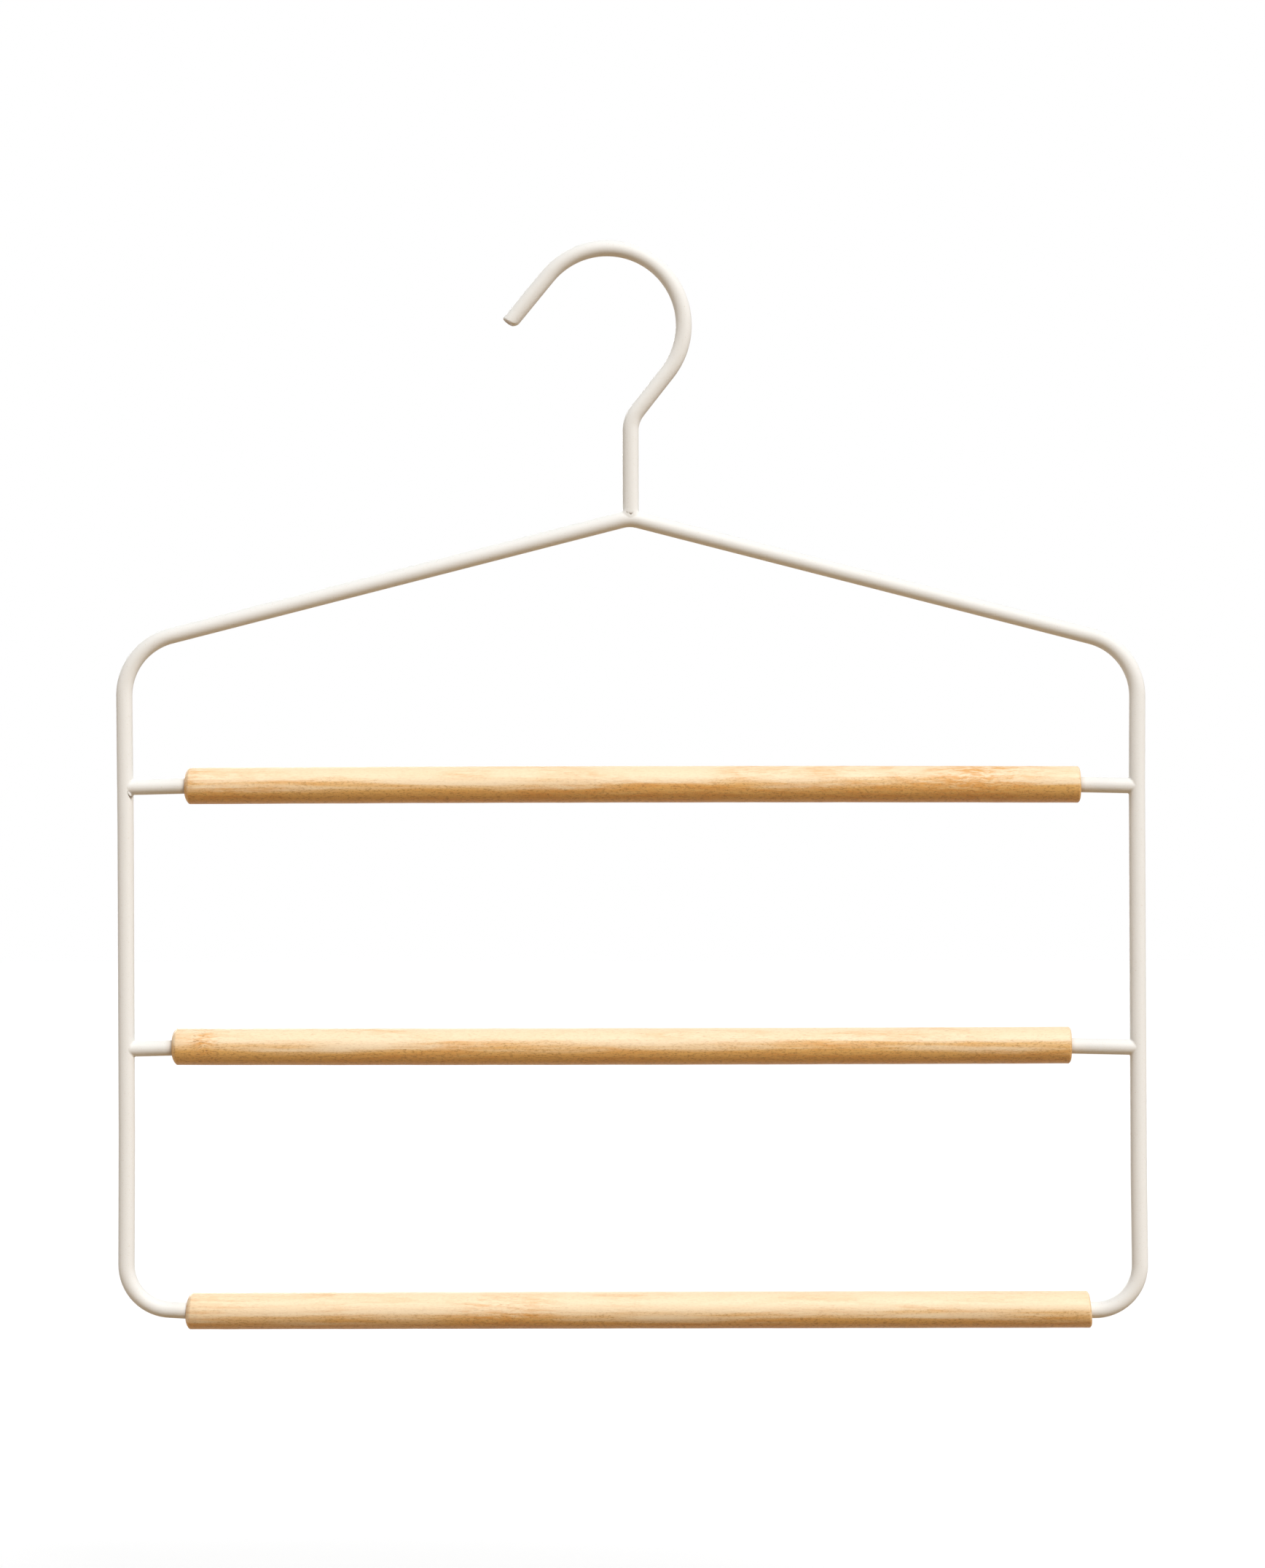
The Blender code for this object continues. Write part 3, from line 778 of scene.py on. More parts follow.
def wood_finish(name, centre, looks):
    """Pale oiled wood, solid all through, so that an end shows the figure's section.

    Growth rings are shells round a wandering heart line. Streaks, grit and pores are noise drawn
    out along the bar, and one curl on each bar bends them all. The cream share rises towards each
    bar's top, as painted light: a lit top over a painted shade below.
    """
    billet = BILLETS[name]
    finish = Finish(bpy.data.materials.new(name.replace("_", " ") + " wood"))
    plain_spot = finish.place(centre)
    to_curl = finish.vector("DISTANCE", plain_spot, billet.curl, output=1)
    curl = finish.ramp(to_curl, low=billet.width, high=billet.width * CURL_CORE)
    swirl = finish.noise(plain_spot, scale=CURL_SWIRL, output="Color")
    pull = finish.vector("SUBTRACT", swirl, (MIDDLE,) * 3)
    scaled = {0: pull, "Scale": curl * billet.power}
    bend = finish.node("VectorMath", {"operation": "SCALE"}, scaled)
    bent = finish.vector("ADD", finish.place(centre, billet.turn), bend)
    spot = finish.vector("ADD", bent, (billet.along, 0, 0))

    def figure(kind):
        """The noise of that kind, drawn out along the bar."""
        along, across, detail, roughness, limits = FIGURES[kind]
        drawn = finish.vector("MULTIPLY", spot, (along, across, across))
        noise = finish.noise(drawn, detail=detail, roughness=roughness)
        return finish.ramp(noise, *limits) if limits else noise

    y = finish.node("SeparateXYZ", {}, {"Vector": spot}, 1)
    heart_y, heart_z = billet.heart
    across = y + heart_y + (figure("sway") - MIDDLE) * HEART_SWAY
    over = y.output(2) + heart_z + (figure("lean") - MIDDLE) * HEART_LEAN
    shell = (across * across + over * over) ** 0.5 + figure("waver") * RING_WAVER
    ring = finish.maths("FRACT", shell / RING_WIDTH)
    late = finish.ramp(ring, *LATE_START) * (1 - finish.ramp(ring, *LATE_STOP))

    patch = figure("patch")
    fibre = figure("fibre")
    specks = figure("specks")
    pores = figure("dashes") * (PATCH_PORES * patch + CURL_PORES * curl + billet.pores)
    end = finish.mark("end_grain")

    # Painted light: the pale share rises towards the bar's top, cream where it is lit and gold
    # where shade falls; the band noise is the wood's own random tone.
    up = finish.node("SeparateXYZ", {}, {"Vector": plain_spot}, 2)
    sapwood_and_lit_top = figure("band") + up * looks.lit_top_tilt + (billet.pale - MIDDLE) * PALE_SPREAD
    pale = finish.ramp(sapwood_and_lit_top, *PALE_LIMITS)
    knot = curl * billet.knot
    calm = 1 - PALE_CALM * (pale * (1 - knot))
    blots = billet.streaks * (patch + curl * CURL_STREAKS) * figure("mottle")
    streaks = (blots + late * (LATE_STREAKS + PATCH_LATE_STREAKS * patch)) * calm
    open_pores = pores * calm * (1 + knot)

    plain = finish.mix(pale, looks.wood, looks.wood_pale_and_lit)
    fleck = (fibre - MIDDLE) * FIBRE_STREAKS
    streaked = finish.mix(streaks + fleck, plain, looks.wood_streak)
    gritty = finish.mix(specks * (SPECK_SHARE - SPECK_CALM * pale), streaked, looks.wood_grit)
    pored = finish.mix(open_pores * PORE_SHARE + end * END_SHARE, gritty, looks.wood_pore)
    dull = PORE_ROUGHNESS * pores + END_ROUGHNESS * end + (fibre - MIDDLE) * FIBRE_ROUGHNESS
    dents = specks * (SPECK_DEPTH - PALE_SPECK_RISE * pale)
    sockets = {
        "Base Color": pored,
        "Roughness": looks.wood_roughness + dull,
        "Specular IOR Level": looks.sheen,
        "Coat Weight": looks.oil,
        "Coat Roughness": looks.oil_roughness,
        "Normal": finish.bump((fibre - open_pores) * looks.pore_height - dents),
    }
    return finish.surface(finish.node("BsdfPrincipled", {}, sockets))


def bar_place(name):
    """A bar's middle, half its length and its radius, read from its CAD node."""
    low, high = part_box(name)
    return (low + high) / 2, (high.x - low.x) / 2, (high.y - low.y) / 2


def apex_point(size):
    """The corner of the wire's axis under the hook, where the CAD node has it."""
    return np.array([STEM_X, FRAME_HIGH.z - size.apex_rise])


def frame_route(size):
    """The frame's axis, from its left end in the bottom bar over the apex to its right end."""
    apex = apex_point(size)
    bar, half_bar, _ = bar_place(BOTTOM_BAR)
    shoulder_z = apex[1] - (RIGHT_LEG_X - STEM_X) * math.tan(size.slope)
    insertion = bpy.context.scene.hanger_bars.wire_insertion

    def leg(index, out, x, drifts):
        """One side's corners, from the end inside the bar up to the shoulder.

        out is -1 at the left and 1 at the right.
        """
        end_x = bar.x + out * half_bar
        return [
            (end_x - out * insertion, bar.z),
            (end_x - out * size.ease_inset, bar.z),
            (x + drifts[2], bar.z + size.foot_lifts[index]),
            (x + drifts[1], (shoulder_z + bar.z) / 2),
            (x + drifts[0], shoulder_z + size.top_lifts[index]),
        ]

    left = leg(0, -1, LEFT_LEG_X, size.left_drift)
    right = leg(1, 1, RIGHT_LEG_X, size.right_drift)
    bends = [size.ease_bend, size.foot_bend, size.leg_bend, size.shoulder_bend]
    corners = left + [apex] + right[::-1]
    return Route(bent_route(corners, bends + [size.apex_bend] + bends[::-1]))


def leg_x(route, side, z):
    """Where a leg's axis stands at a height."""
    x, height = route.points.T
    on_leg = (x < STEM_X) if side == "left" else (x > STEM_X)
    order = np.argsort(height[on_leg])
    return float(np.interp(z, height[on_leg][order], x[on_leg][order]))


def hook_route(size, apex):
    """The hook's axis: stem, neck bend, neck, the round that hangs on the rail, and its tip.

    The neck is the straight run between the ends of the two bends.
    """
    foot = apex + [size.drift, 0]
    centre = np.array([size.drift, HOOK_HIGH.z - size.wire_radius - size.rail_bend])
    neck_centre = foot + [size.neck_bend, size.stem_run]
    neck_bend = arc(neck_centre, size.neck_bend, math.pi, -size.neck_lean)
    rail_bend = arc(centre, size.rail_bend, -size.neck_lean, size.rail_sweep)
    heading = size.rail_sweep - size.neck_lean + math.pi / 2
    tip = rail_bend[-1] + size.tip_run * np.array([math.cos(heading), math.sin(heading)])
    return Route(np.concatenate([[foot], neck_bend, rail_bend, [tip]]))


def apex_surface(size, tube_radius, x, y):
    """Height over the apex corner of a tube round the frame's axis, at x and y from that corner.

    Over the bend the tube is a ring round the bend's centre, and beside it a sloping wire.
    """
    half_section = half_chord(tube_radius, y)
    outer = size.apex_bend + half_section
    bend_z = half_chord(outer, x) - size.apex_bend / math.cos(size.slope)
    slope_z = half_section / math.cos(size.slope) - np.abs(x) * math.tan(size.slope)
    return np.where(np.abs(x) < outer * math.sin(size.slope), bend_z, slope_z)


def stem_surface(size, drift, tube_radius, radius, around):
    """Height over the apex corner at which a line beside the hook's stem meets a tube there.

    The line runs at the given radius and angle round the stem, which stands drift off the apex.
    """
    beside = drift - radius * np.cos(around)
    return apex_surface(size, tube_radius, beside, radius * np.sin(around))


def apex_core(size, points):
    """The points of the frame's axis that are nearest to points beside the apex.

    The turn round the bend's centre is held within the bend, and what is left is run along the
    straight wire: T + h ((P - T) . h), T being the axis at that turn and h its heading.
    """
    centre = apex_point(size) - [0, size.apex_bend / math.cos(size.slope)]
    flat = points[..., [0, 2]]
    offset = flat - centre
    turn = np.clip(np.arctan2(offset[..., 0], offset[..., 1]), -size.slope, size.slope)
    touch = centre + size.apex_bend * np.stack([np.sin(turn), np.cos(turn)], axis=-1)
    heading = np.stack([np.cos(turn), -np.sin(turn)], axis=-1)
    core = touch + heading * np.sum((flat - touch) * heading, axis=-1, keepdims=True)
    return np.stack([core[..., 0], 0 * core[..., 0], core[..., 1]], axis=-1)


def leg_surface(heading, tube_radius, radius, around):
    """Distance from the leg's axis at which a line beside a pin meets a tube round the leg.

    The line runs at the given radius and angle round the pin, and it meets the tube where its
    distance from the leg's axis is sqrt(tube_radius^2 - y^2), y being radius * sin(around).
    """
    chord = half_chord(tube_radius, radius * np.sin(around))
    side = math.copysign(1, heading[0])
    return (chord + side * radius * np.cos(around) * heading[1]) / abs(heading[0])


def leg_core(x, points):
    """The points of a leg's axis, which stands at x, that are level with points beside it."""
    return points * [0, 0, 1] + [x, 0, 0]


def coped(along, foot, reach):
    """Distances along a wire whose start is cut to the line foot, which is felt up to reach."""
    return along[:, None] + foot[None, :] * np.maximum(0, 1 - along[:, None] / reach)


def pin_route(name, side, frame_line, size):
    """A pin's axis, from the leg's axis to the end that its CAD node has inside the bar."""
    bar, _, _ = bar_place(name)
    low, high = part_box(name.replace("bar", side + "_pin"))
    inner_x = high.x if side == "left" else low.x
    root_x = leg_x(frame_line, side, bar.z)
    rise = math.tan(size.rise)
    root_z = bar.z - size.crossing * rise
    return Route(np.array([(root_x, root_z), (inner_x, root_z + abs(inner_x - root_x) * rise)]))


# The beads: the angle round a wire that faces the front, how fast each bead grows towards the
# front and the back, as powers of the sine, how many ripples it has all round, and where they
# start at each bar's pins.
FRONT = 0.75 * TURN
BACK_POWER = 2
PIN_FRONT_POWER = 3
HOOK_FRONT_POWER = 1.4
PIN_RIPPLES = 14
HOOK_RIPPLES = 16
PIN_RIPPLE_STARTS = {"upper_bar": 9.0, "middle_bar": 10.0}

# The pits at the front of the hook's bead: depth as a share, which also darkens them as painted
# shade, turn from the front and its width, and place across the bead and its width.
PITS = ((1.0, 0.0, 0.17, 0.30, 0.08), (0.6, 0.38, 0.10, 0.40, 0.07))

# How far forward the painted shade on the rim of the drop of filler starts to fade and is gone,
# in halves of its depth.
DROP_RIM = (0.6, 0.95)

Bead = namedtuple("Bead", "ball climb bulge dents")


def weld_ring(route, tube_radius, radius, meet, core, bead, root):
    """A bead in the corner between a wire and the tube that carries it, as a closed section.

    meet gives where a line beside the wire meets such a tube, and core the tube's own axis.
    A ball rolls round the wire and touches both. At each angle the bead's face is the ball's arc
    from the wire to the tube, turned evenly: (sin((1-u)w) a + sin(uw) b) / sin w, with w the angle
    between its ends a and b. It bulges towards the ball's centre as bulge * sin(pi u), and is
    raised along the wire as climb * (1-u)^2. Three more points lie root inside the metal.
    """
    around = round_angles(WELD_ROWS)
    ball = bead.ball
    rolled = meet(tube_radius + ball, radius + ball, around)
    seam = meet(tube_radius, radius, around)
    centre = section_points(route, rolled, radius + ball, around)
    axis = core(centre)
    away = (centre - axis) / (tube_radius + ball)[:, None]
    to_wire = (section_points(route, rolled, radius, around) - centre) / ball[:, None]
    turn = np.arccos(np.clip(-np.sum(to_wire * away, axis=-1), -1, 1))[:, None, None]
    u = np.linspace(0, 1, WELD_COLUMNS)
    spread = np.sin((1 - u)[:, None] * turn) * to_wire[:, None]
    arcs = (spread - np.sin(u[:, None] * turn) * away[:, None]) / np.sin(turn)
    reach = ball[:, None] * (1 - bead.bulge[:, None] * np.sin(math.pi * u)) + bead.dents
    heading = np.array([route.at(0)[1][0], 0, route.at(0)[1][1]])
    raised = (bead.climb[:, None] * (1 - u) ** 2)[..., None] * heading
    face = centre[:, None] + reach[..., None] * arcs + raised
    hidden = [
        axis + (tube_radius - root) * away,
        section_points(route, seam - root, radius - root, around),
        section_points(route, rolled + bead.climb, radius - root, around),
    ]
    return np.concatenate([face] + [points[:, None] for points in hidden], axis=1)


class HANGER_OT_bend_frame(bpy.types.Operator):
    """Bend the frame's one wire"""

    bl_idname = "hanger.bend_frame"
    bl_label = "Bend Frame Wire"

    def execute(self, context):
        size = context.scene.hanger_frame
        route = frame_route(size)
        along, inset = edge_rows(route.length, WIRE_STEP, size.end_edge, size.end_edge)
        around = round_angles(WIRE_SIDES)
        radius = size.wire_radius - inset[:, None] + 0 * around
        points = section_points(route, along[:, None], radius, around)
        put_steel("coated_frame_wire", "frame_wire", with_poles(points), tube_faces(*radius.shape))
        return {"FINISHED"}


# The hook's sheared tip: where from its rim to its middle the hollow starts and is whole, and the
# share of its rounding at which the painted shade of its face starts.
DISH_LIMITS = (0.1, 0.7)
SHEAR_START = 0.3


class HANGER_OT_bend_hook(bpy.types.Operator):
    """Bend the hook's wire, cope its foot to the apex and shear its tip"""

    bl_idname = "hanger.bend_hook"
    bl_label = "Bend Hook Wire"

    def execute(self, context):
        scene = context.scene
        size = scene.hanger_hook
        frame_size = scene.hanger_frame
        route = hook_route(size, apex_point(frame_size))
        around = round_angles(WIRE_SIDES)
        along, inset = edge_rows(route.length, FINE_STEP, 0, size.tip_edge)
        face = np.linspace(1, 0, EDGE_ROWS)[1:-1]
        stretch = 1 + size.tip_round * np.maximum(0, np.cos(around)) ** 2
        wall = size.wire_radius - inset[:, None] * stretch
        radius = np.concatenate([wall, face[:, None] * wall[-1]])
        inset = np.concatenate([inset, size.tip_edge + 0 * face])
        dish = np.concatenate([0 * along, size.tip_dish * smooth_step(1 - face, *DISH_LIMITS)])
        along = np.concatenate([along, np.full(len(face), route.length)])
        from_tip = (route.length - along)[:, None]

        near = hump(from_tip, 0, size.tip_fade)
        lean = math.tan(size.tip_lean) * np.sin(around) - math.tan(size.tip_slant) * np.cos(around)
        push = near * radius * lean - dish[:, None] - near * from_tip * (stretch - 1)
        radii = (frame_size.wire_radius, size.wire_radius)
        foot = stem_surface(frame_size, size.drift, *radii, around)
        climb = size.foot_climb * scene.hanger_welds.hook_climb
        foot += climb * to_front(around, 2 * HOOK_FRONT_POWER) - scene.hanger_pins.sink
        points = section_points(route, coped(along, foot, size.cope_run), radius, around, push)
        # Painted shade: the sheared face and the inner part of its rounding are darkened.
        sheared = smooth_step(inset, SHEAR_START * size.tip_edge, size.tip_edge)
        marks = {"rub_and_tip_shade": np.concatenate([np.repeat(sheared, WIRE_SIDES), [0, 1]])}
        faces = tube_faces(*radius.shape)
        put_steel("coated_hook_wire", "hook_wire", with_poles(points), faces, marks)
        return {"FINISHED"}


class HANGER_OT_fit_pins(bpy.types.Operator):
    """Fit the four pins, each with its root coped to its leg"""

    bl_idname = "hanger.fit_pins"
    bl_label = "Fit Pins"

    def execute(self, context):
        frame_size = context.scene.hanger_frame
        frame_line = frame_route(frame_size)
        for bar, side in PINS:
            self.fit(bar, side, frame_line, context.scene.hanger_pins, frame_size.wire_radius)
        return {"FINISHED"}

    @staticmethod
    def fit(bar, side, frame_line, size, leg_radius):
        """Fits one pin, rubbed where it stands in its bar."""
        route = pin_route(bar, side, frame_line, size)
        around = round_angles(WIRE_SIDES)
        along, inset = edge_rows(route.length, FINE_STEP, 0, size.end_edge)
        radius = size.wire_radius - inset[:, None] + 0 * around
        heading = route.at(0)[1]
        foot = leg_surface(heading, leg_radius, size.wire_radius, around) - size.sink
        points = section_points(route, coped(along, foot, size.cope_run), radius, around)
        middle, half, _ = bar_place(bar)
        inside = half - np.abs(points[..., 0] - middle.x)
        rub_and_tip_shade = smooth_step(inside, size.rub_start - size.rub_fade, size.rub_start)
        marks = {"rub_and_tip_shade": size.rub_share * np.concatenate([rub_and_tip_shade.ravel(), [0, 1]])}
        node = bar.replace("bar", side + "_pin")
        put_steel("coated_" + node, node, with_poles(points), tube_faces(*radius.shape), marks)


class HANGER_OT_lay_welds(bpy.types.Operator):
    """Lay the weld beads round the hook's foot and the pins' roots"""

    bl_idname = "hanger.lay_welds"
    bl_label = "Lay Weld Beads"

    def execute(self, context):
        scene = context.scene
        size = scene.hanger_welds
        self.lay_hook_weld(size, scene.hanger_frame, scene.hanger_hook)
        frame_line = frame_route(scene.hanger_frame)
        for bar, side in PINS:
            route = pin_route(bar, side, frame_line, scene.hanger_pins)
            radii = (scene.hanger_frame.wire_radius, scene.hanger_pins.wire_radius)
            self.lay_pin_weld(size, route, radii, bar, side)
        return {"FINISHED"}

    @staticmethod
    def lay_hook_weld(size, frame_size, hook):
        """Lays the hook's bead, which climbs the stem at the front and has two pits there."""
        around = round_angles(WELD_ROWS)
        front = to_front(around, HOOK_FRONT_POWER)
        back = to_front(-around, BACK_POWER)

        u = np.linspace(0, 1, WELD_COLUMNS)
        pit = sum(
            depth * hump(around, FRONT + turn, spread)[:, None] * hump(u, place, width)
            for depth, turn, spread, place, width in PITS
        )
        swell = size.swell * front[:, None] * np.sin(math.pi * u) ** 2
        side_ball = size.hook_ball + (size.hook_front - size.hook_ball) * front
        bead = Bead(
            ball=side_ball + (size.back_ball - side_ball) * back,
            climb=size.hook_climb * front**2,
            bulge=back * (size.bulge + size.ripple * np.sin(HOOK_RIPPLES * around)),
            dents=pit * size.pit - swell,
        )
        route = hook_route(hook, apex_point(frame_size))
        radii = (frame_size.wire_radius, hook.wire_radius)
        meet = partial(stem_surface, frame_size, hook.drift)
        points = weld_ring(route, *radii, meet, partial(apex_core, frame_size), bead, size.root)
        # The pits' depth share also darkens them, as painted shade.
        marks = np.zeros(points.shape[:2])
        marks[:, :WELD_COLUMNS] = pit
        faces = ring_faces(*points.shape[:2])
        flat = points.reshape(-1, 3)
        put_steel("hook_weld_bead", "hook_weld", flat, faces, {"pit": marks.ravel()})

    @staticmethod
    def lay_pin_weld(size, route, radii, bar, side):
        """Lays a pin's bead, and at the upper left pin the drop of filler below it."""
        axis, heading = route.at(0)
        around = round_angles(WELD_ROWS)
        front = to_front(around, PIN_FRONT_POWER)
        back = to_front(-around, BACK_POWER)

        ball = size.side_ball + (size.front_ball - size.side_ball) * front
        ripples = np.sin(PIN_RIPPLES * around + PIN_RIPPLE_STARTS[bar])
        bead = Bead(
            ball=ball + (size.back_ball - ball) * back,
            climb=0 * around,
            bulge=back * (size.bulge + size.ripple * ripples),
            dents=0,
        )
        meet = partial(leg_surface, heading)
        points = weld_ring(route, *radii, meet, partial(leg_core, axis[0]), bead, size.root)
        flat = points.reshape(-1, 3)
        faces = ring_faces(*points.shape[:2])
        rim_shade = np.zeros(len(flat))
        if (bar, side) == PINS[0]:
            place = [axis[0], 0, axis[1]] + np.array(size.drop_place)
            lump, lump_faces = ellipsoid(place, size.drop_size, size.drop_slant)
            faces = joined(flat, faces, lump, lump_faces)
            flat = np.concatenate([flat, lump])
            # Painted shade: the drop's rim is darkened, fading towards its front.
            forward = (place[1] - lump[:, 1]) / size.drop_size[1]
            rim = 1 - smooth_step(forward, *DROP_RIM)
            rim_shade = np.concatenate([rim_shade, size.drop_rim_shade * rim])
        node = bar.replace("bar", side + "_weld")
        put_steel(node + "_bead", node, flat, faces, {"pit": rim_shade})


# A bar's ends: the share of the bore at which the drill's point is flat, the share of end grain
# that the rounded rim loses, and the turns of its rounding between which it does.
DRILL_FLAT = 0.05
RIM_LOSS = 0.85
RIM_TURNS = (0.3, 1.5)


class HANGER_OT_turn_bars(bpy.types.Operator):
    """Turn the three wooden bars and bore their ends"""

    bl_idname = "hanger.turn_bars"
    bl_label = "Turn Wooden Bars"

    def execute(self, context):
        scene = context.scene
        for index, bar in enumerate(BARS):
            wire = scene.hanger_frame if bar == BOTTOM_BAR else scene.hanger_pins
            bore = wire.wire_radius + scene.hanger_bars.bore_clearance
            self.turn(scene.hanger_bars, scene.hanger_looks, bar, index, bore)
        return {"FINISHED"}

    @staticmethod
    def end_rows(size, radius, bore, edge):
        """Depth in from the end, radius and end grain, from the drilled point to the barrel.

        The rounded rim follows e (1 - cos(t)^power) along the bar and e (1 - sin(t)^power) across.
        """
        depth = size.wire_insertion + size.bore_spare
        point = bore / math.tan(size.drill_angle / 2)
        turn = np.linspace(0, math.pi / 2, EDGE_ROWS)
        rim_depth = edge[0] * (1 - np.cos(turn) ** size.edge_power)
        rim_radius = radius - edge[1] * (1 - np.sin(turn) ** size.edge_power)
        share_in = np.linspace(0, 1, EDGE_ROWS)
        bore_depth = depth - (depth - size.mouth_edge) * share_in
        mouth = bore + size.mouth_edge
        depths = [[depth + point * (1 - DRILL_FLAT)], bore_depth, [0], rim_depth]
        radii = [[bore * DRILL_FLAT], np.full(EDGE_ROWS, bore), [mouth], rim_radius]
        grain = [[1], np.ones(EDGE_ROWS), [1], 1 - RIM_LOSS * smooth_step(turn, *RIM_TURNS)]
        return [np.concatenate(column) for column in (depths, radii, grain)]

    def turn(self, size, looks, bar, index, bore):
        """A turned piece: x along the bar, and y and z = radius * (cos a, sin a) round its axis.

        The axis bows as 1 - (x / half)^2.
        """
        middle, half, radius = bar_place(bar)
        left = self.end_rows(size, radius, bore, size.left_edge)
        right = self.end_rows(size, radius, bore, size.right_edge)
        count = math.ceil(2 * half / BAR_STEP)
        start = size.left_trims[index] - half
        end = half - size.right_trims[index]
        barrel = np.linspace(start + size.left_edge[0], end - size.right_edge[0], count)[1:-1]
        x = np.concatenate([start + left[0], barrel, end - right[0][::-1]])
        radii = np.concatenate([left[1], np.full(count - 2, radius), right[1][::-1]])
        grain = np.concatenate([left[2], 0 * barrel, right[2][::-1]])

        around = round_angles(BAR_SIDES)
        outside = (radii > bore + size.mouth_edge)[:, None]
        uneven = size.turning_wander * (wander(x[:, None], around) - 1) * outside
        reach = radii[:, None] + uneven
        y = reach * np.cos(around)
        upright = reach * np.sin(around)
        z = upright + size.lifts[index] + size.bows[index] * (1 - (x[:, None] / half) ** 2)
        near_start = 1 - smooth_step(x, start, start + size.skew_reach)
        near_end = smooth_step(x, end - size.skew_reach, end)
        skew = size.left_skews[index] * near_start + size.right_skews[index] * near_end
        points = np.stack([x[:, None] + skew[:, None] * upright, y, z], axis=-1) + np.array(middle)
        marks = {"end_grain": np.concatenate([np.repeat(grain, BAR_SIDES), [1, 1]])}
        faces = tube_faces(len(x), BAR_SIDES)
        wood = wood_finish(bar, middle, looks)
        put_piece("wooden_" + bar, bar, wood, with_poles(points), faces, marks)


# The lamps: each one's height over the horizon and turn to the right of the camera, in degrees.
# The stage's property of the same name gives its strength.
LAMPS = {
    "key": (48, 25),
    "left fill": (4, -80),
    "right fill": (4, 70),
    "back fill": (15, 197),
}


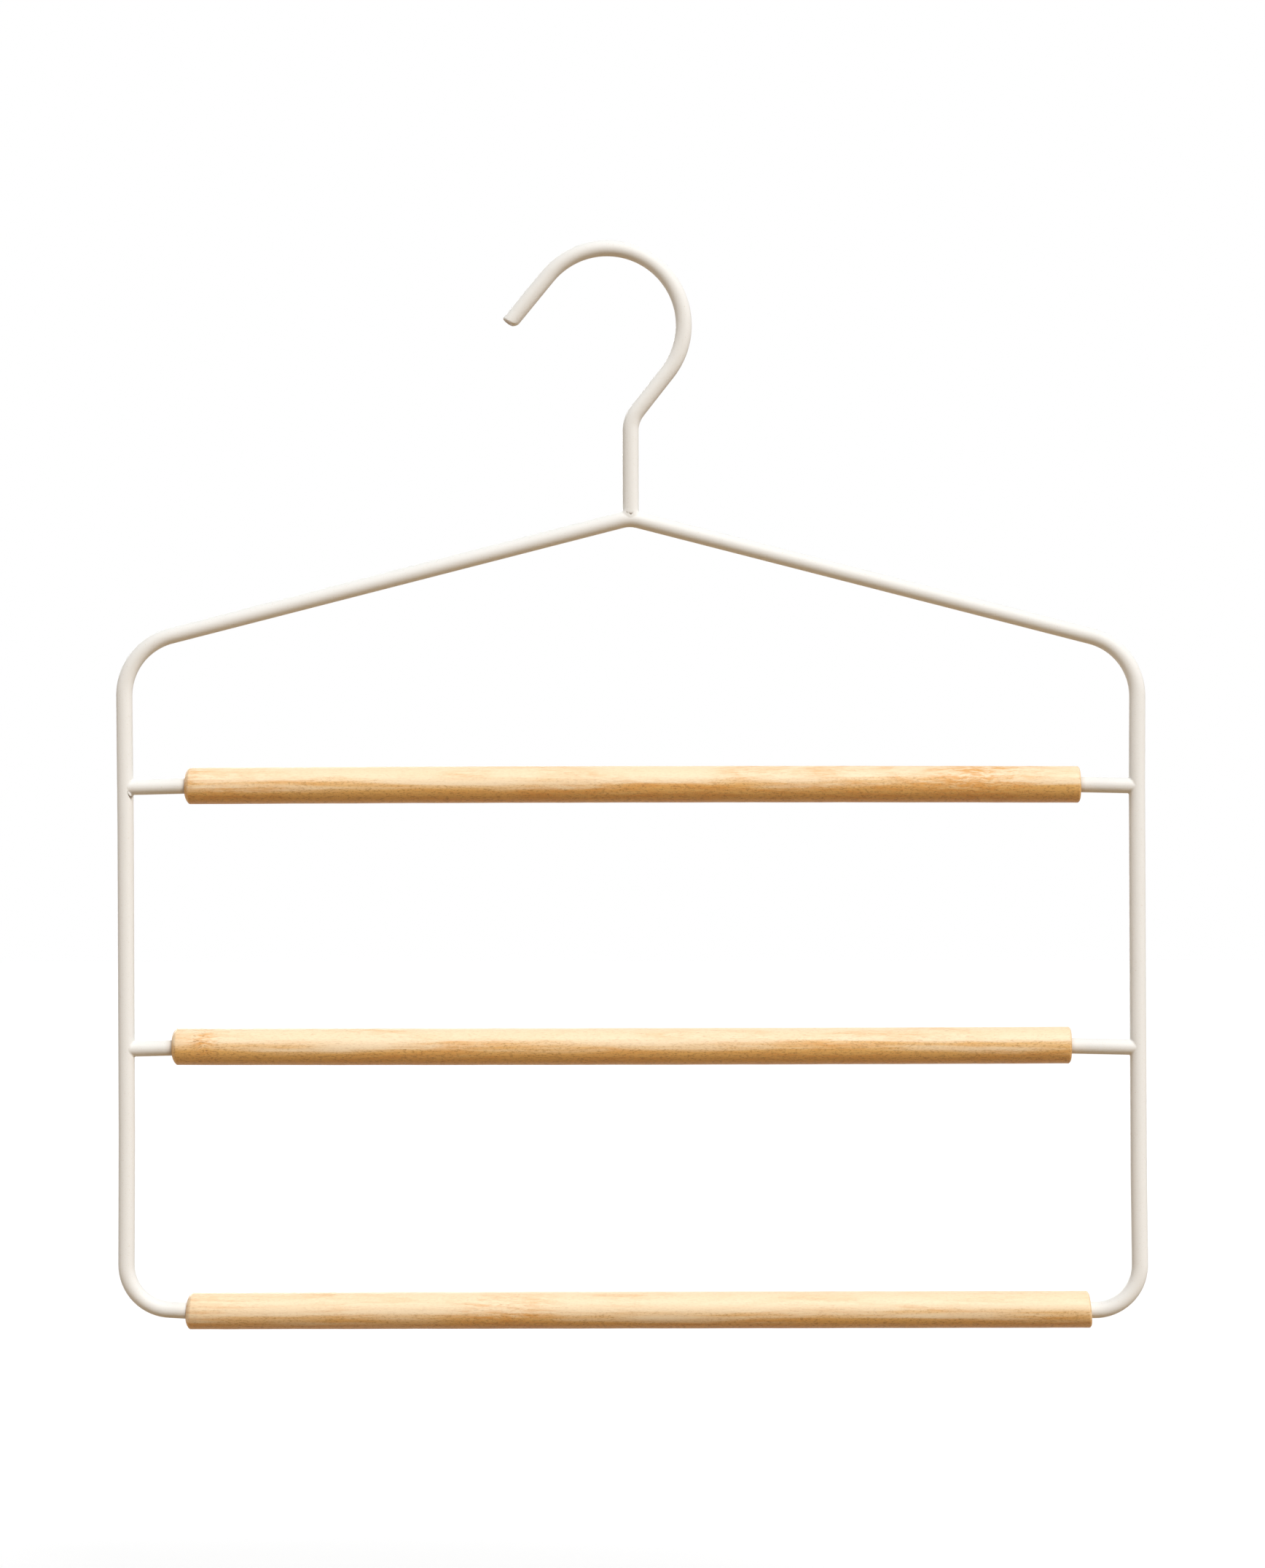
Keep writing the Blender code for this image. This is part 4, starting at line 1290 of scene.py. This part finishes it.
class HANGER_OT_set_stage(bpy.types.Operator):
    """Set up the camera, the lamps, the sky and the floor"""

    bl_idname = "hanger.set_stage"
    bl_label = "Set Photo Stage"

    def execute(self, context):
        stage = context.scene.hanger_stage
        self.set_camera(context.scene, stage)
        for name, (height, side) in LAMPS.items():
            self.set_lamp(context.scene, stage, name, math.radians(height), math.radians(side))
        context.scene.world = self.white_sky(stage)
        self.lay_floor(context.scene, stage)
        context.scene.view_settings.view_transform = "Standard"
        return {"FINISHED"}

    @staticmethod
    def add(scene, name, data):
        """Adds an object that holds the data to the scene."""
        made = bpy.data.objects.new(name, data)
        scene.collection.objects.link(made)
        return made

    def set_camera(self, scene, stage):
        """A level camera in front, as far off as the field height needs."""
        data = bpy.data.cameras.new("photo camera")
        data.lens = stage.lens
        data.sensor_width = stage.film
        camera = self.add(scene, "photo camera", data)
        distance = stage.field_height * stage.lens / stage.film
        camera.location = (stage.view_x, -distance, stage.view_z)
        camera.rotation_euler = (math.pi / 2, stage.roll, 0)
        scene.camera = camera

    def set_lamp(self, scene, stage, name, height, side):
        """A soft sun, whose strength is given as the share that a facing white surface returns."""
        data = bpy.data.lights.new(name, "SUN")
        data.energy = math.pi * getattr(stage, name.replace(" ", "_"))
        data.angle = stage.spread
        lamp = self.add(scene, name, data)
        lamp.rotation_euler = (math.pi / 2 - height, 0, side)

    @staticmethod
    def white_sky(stage):
        """A plain sky, white to the camera and in reflections."""
        sky = Finish(bpy.data.worlds.new("white surround"))
        strength = sky.node("MapRange", {}, {"Value": sky.seen(), "To Min": stage.sky}, "Result")
        white = sky.node("Background", {}, {"Color": (1, 1, 1, 1), "Strength": strength})
        return sky.surface(white, "OutputWorld")

    def lay_floor(self, scene, stage):
        """A wide pale floor that keeps shadows, lifted to white for the camera and reflections."""
        finish = Finish(bpy.data.materials.new("pale floor"))
        seen = finish.seen()
        tone = finish.mix(seen, stage.bounce, stage.floor_tone)
        diffuse = finish.node("BsdfDiffuse", {}, {"Color": tone})
        glow = finish.node("Emission", {}, {"Strength": seen * stage.floor_glow})
        both = finish.node("AddShader", {}, {0: diffuse, 1: glow})
        half = stage.floor_size / 2
        low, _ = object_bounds()
        z = low.z - stage.floor_drop
        mesh = bpy.data.meshes.new("floor")
        corners = [(-half, -half, z), (half, -half, z), (half, half, z), (-half, half, z)]
        mesh.from_pydata(corners, [], [(0, 1, 2, 3)])
        mesh.materials.append(finish.surface(both))
        self.add(scene, "floor", mesh)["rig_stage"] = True


class HANGER_PT_build(bpy.types.Panel):
    """Builds the hanger piece by piece"""

    bl_label = "Trouser Hanger"
    bl_idname = "HANGER_PT_build"
    bl_space_type = "VIEW_3D"
    bl_region_type = "UI"
    bl_category = "Hanger"

    def draw(self, context):
        for operator in OPERATORS:
            self.layout.operator(operator.bl_idname)
        for name in GROUPS:
            group = getattr(context.scene, "hanger_" + name)
            box = self.layout.box()
            box.label(text=name.capitalize())
            for key in group.__annotations__:
                box.prop(group, key)


GROUPS = {
    "frame": HangerFrameSizes,
    "hook": HangerHookSizes,
    "pins": HangerPinSizes,
    "welds": HangerWeldSizes,
    "bars": HangerBarSizes,
    "looks": HangerLooks,
    "stage": HangerStage,
}
OPERATORS = (
    HANGER_OT_bend_frame,
    HANGER_OT_bend_hook,
    HANGER_OT_fit_pins,
    HANGER_OT_lay_welds,
    HANGER_OT_turn_bars,
    HANGER_OT_set_stage,
)


def register():
    for made in (*GROUPS.values(), *OPERATORS, HANGER_PT_build):
        bpy.utils.register_class(made)
    for name, group in GROUPS.items():
        setattr(bpy.types.Scene, "hanger_" + name, PointerProperty(type=group))


def unregister():
    for name in GROUPS:
        delattr(bpy.types.Scene, "hanger_" + name)
    for made in reversed((*GROUPS.values(), *OPERATORS, HANGER_PT_build)):
        bpy.utils.unregister_class(made)


def main():
    register()
    bpy.ops.hanger.bend_frame()
    bpy.ops.hanger.bend_hook()
    bpy.ops.hanger.fit_pins()
    bpy.ops.hanger.lay_welds()
    bpy.ops.hanger.turn_bars()
    bpy.ops.hanger.set_stage()


if __name__ == "__main__":
    main()
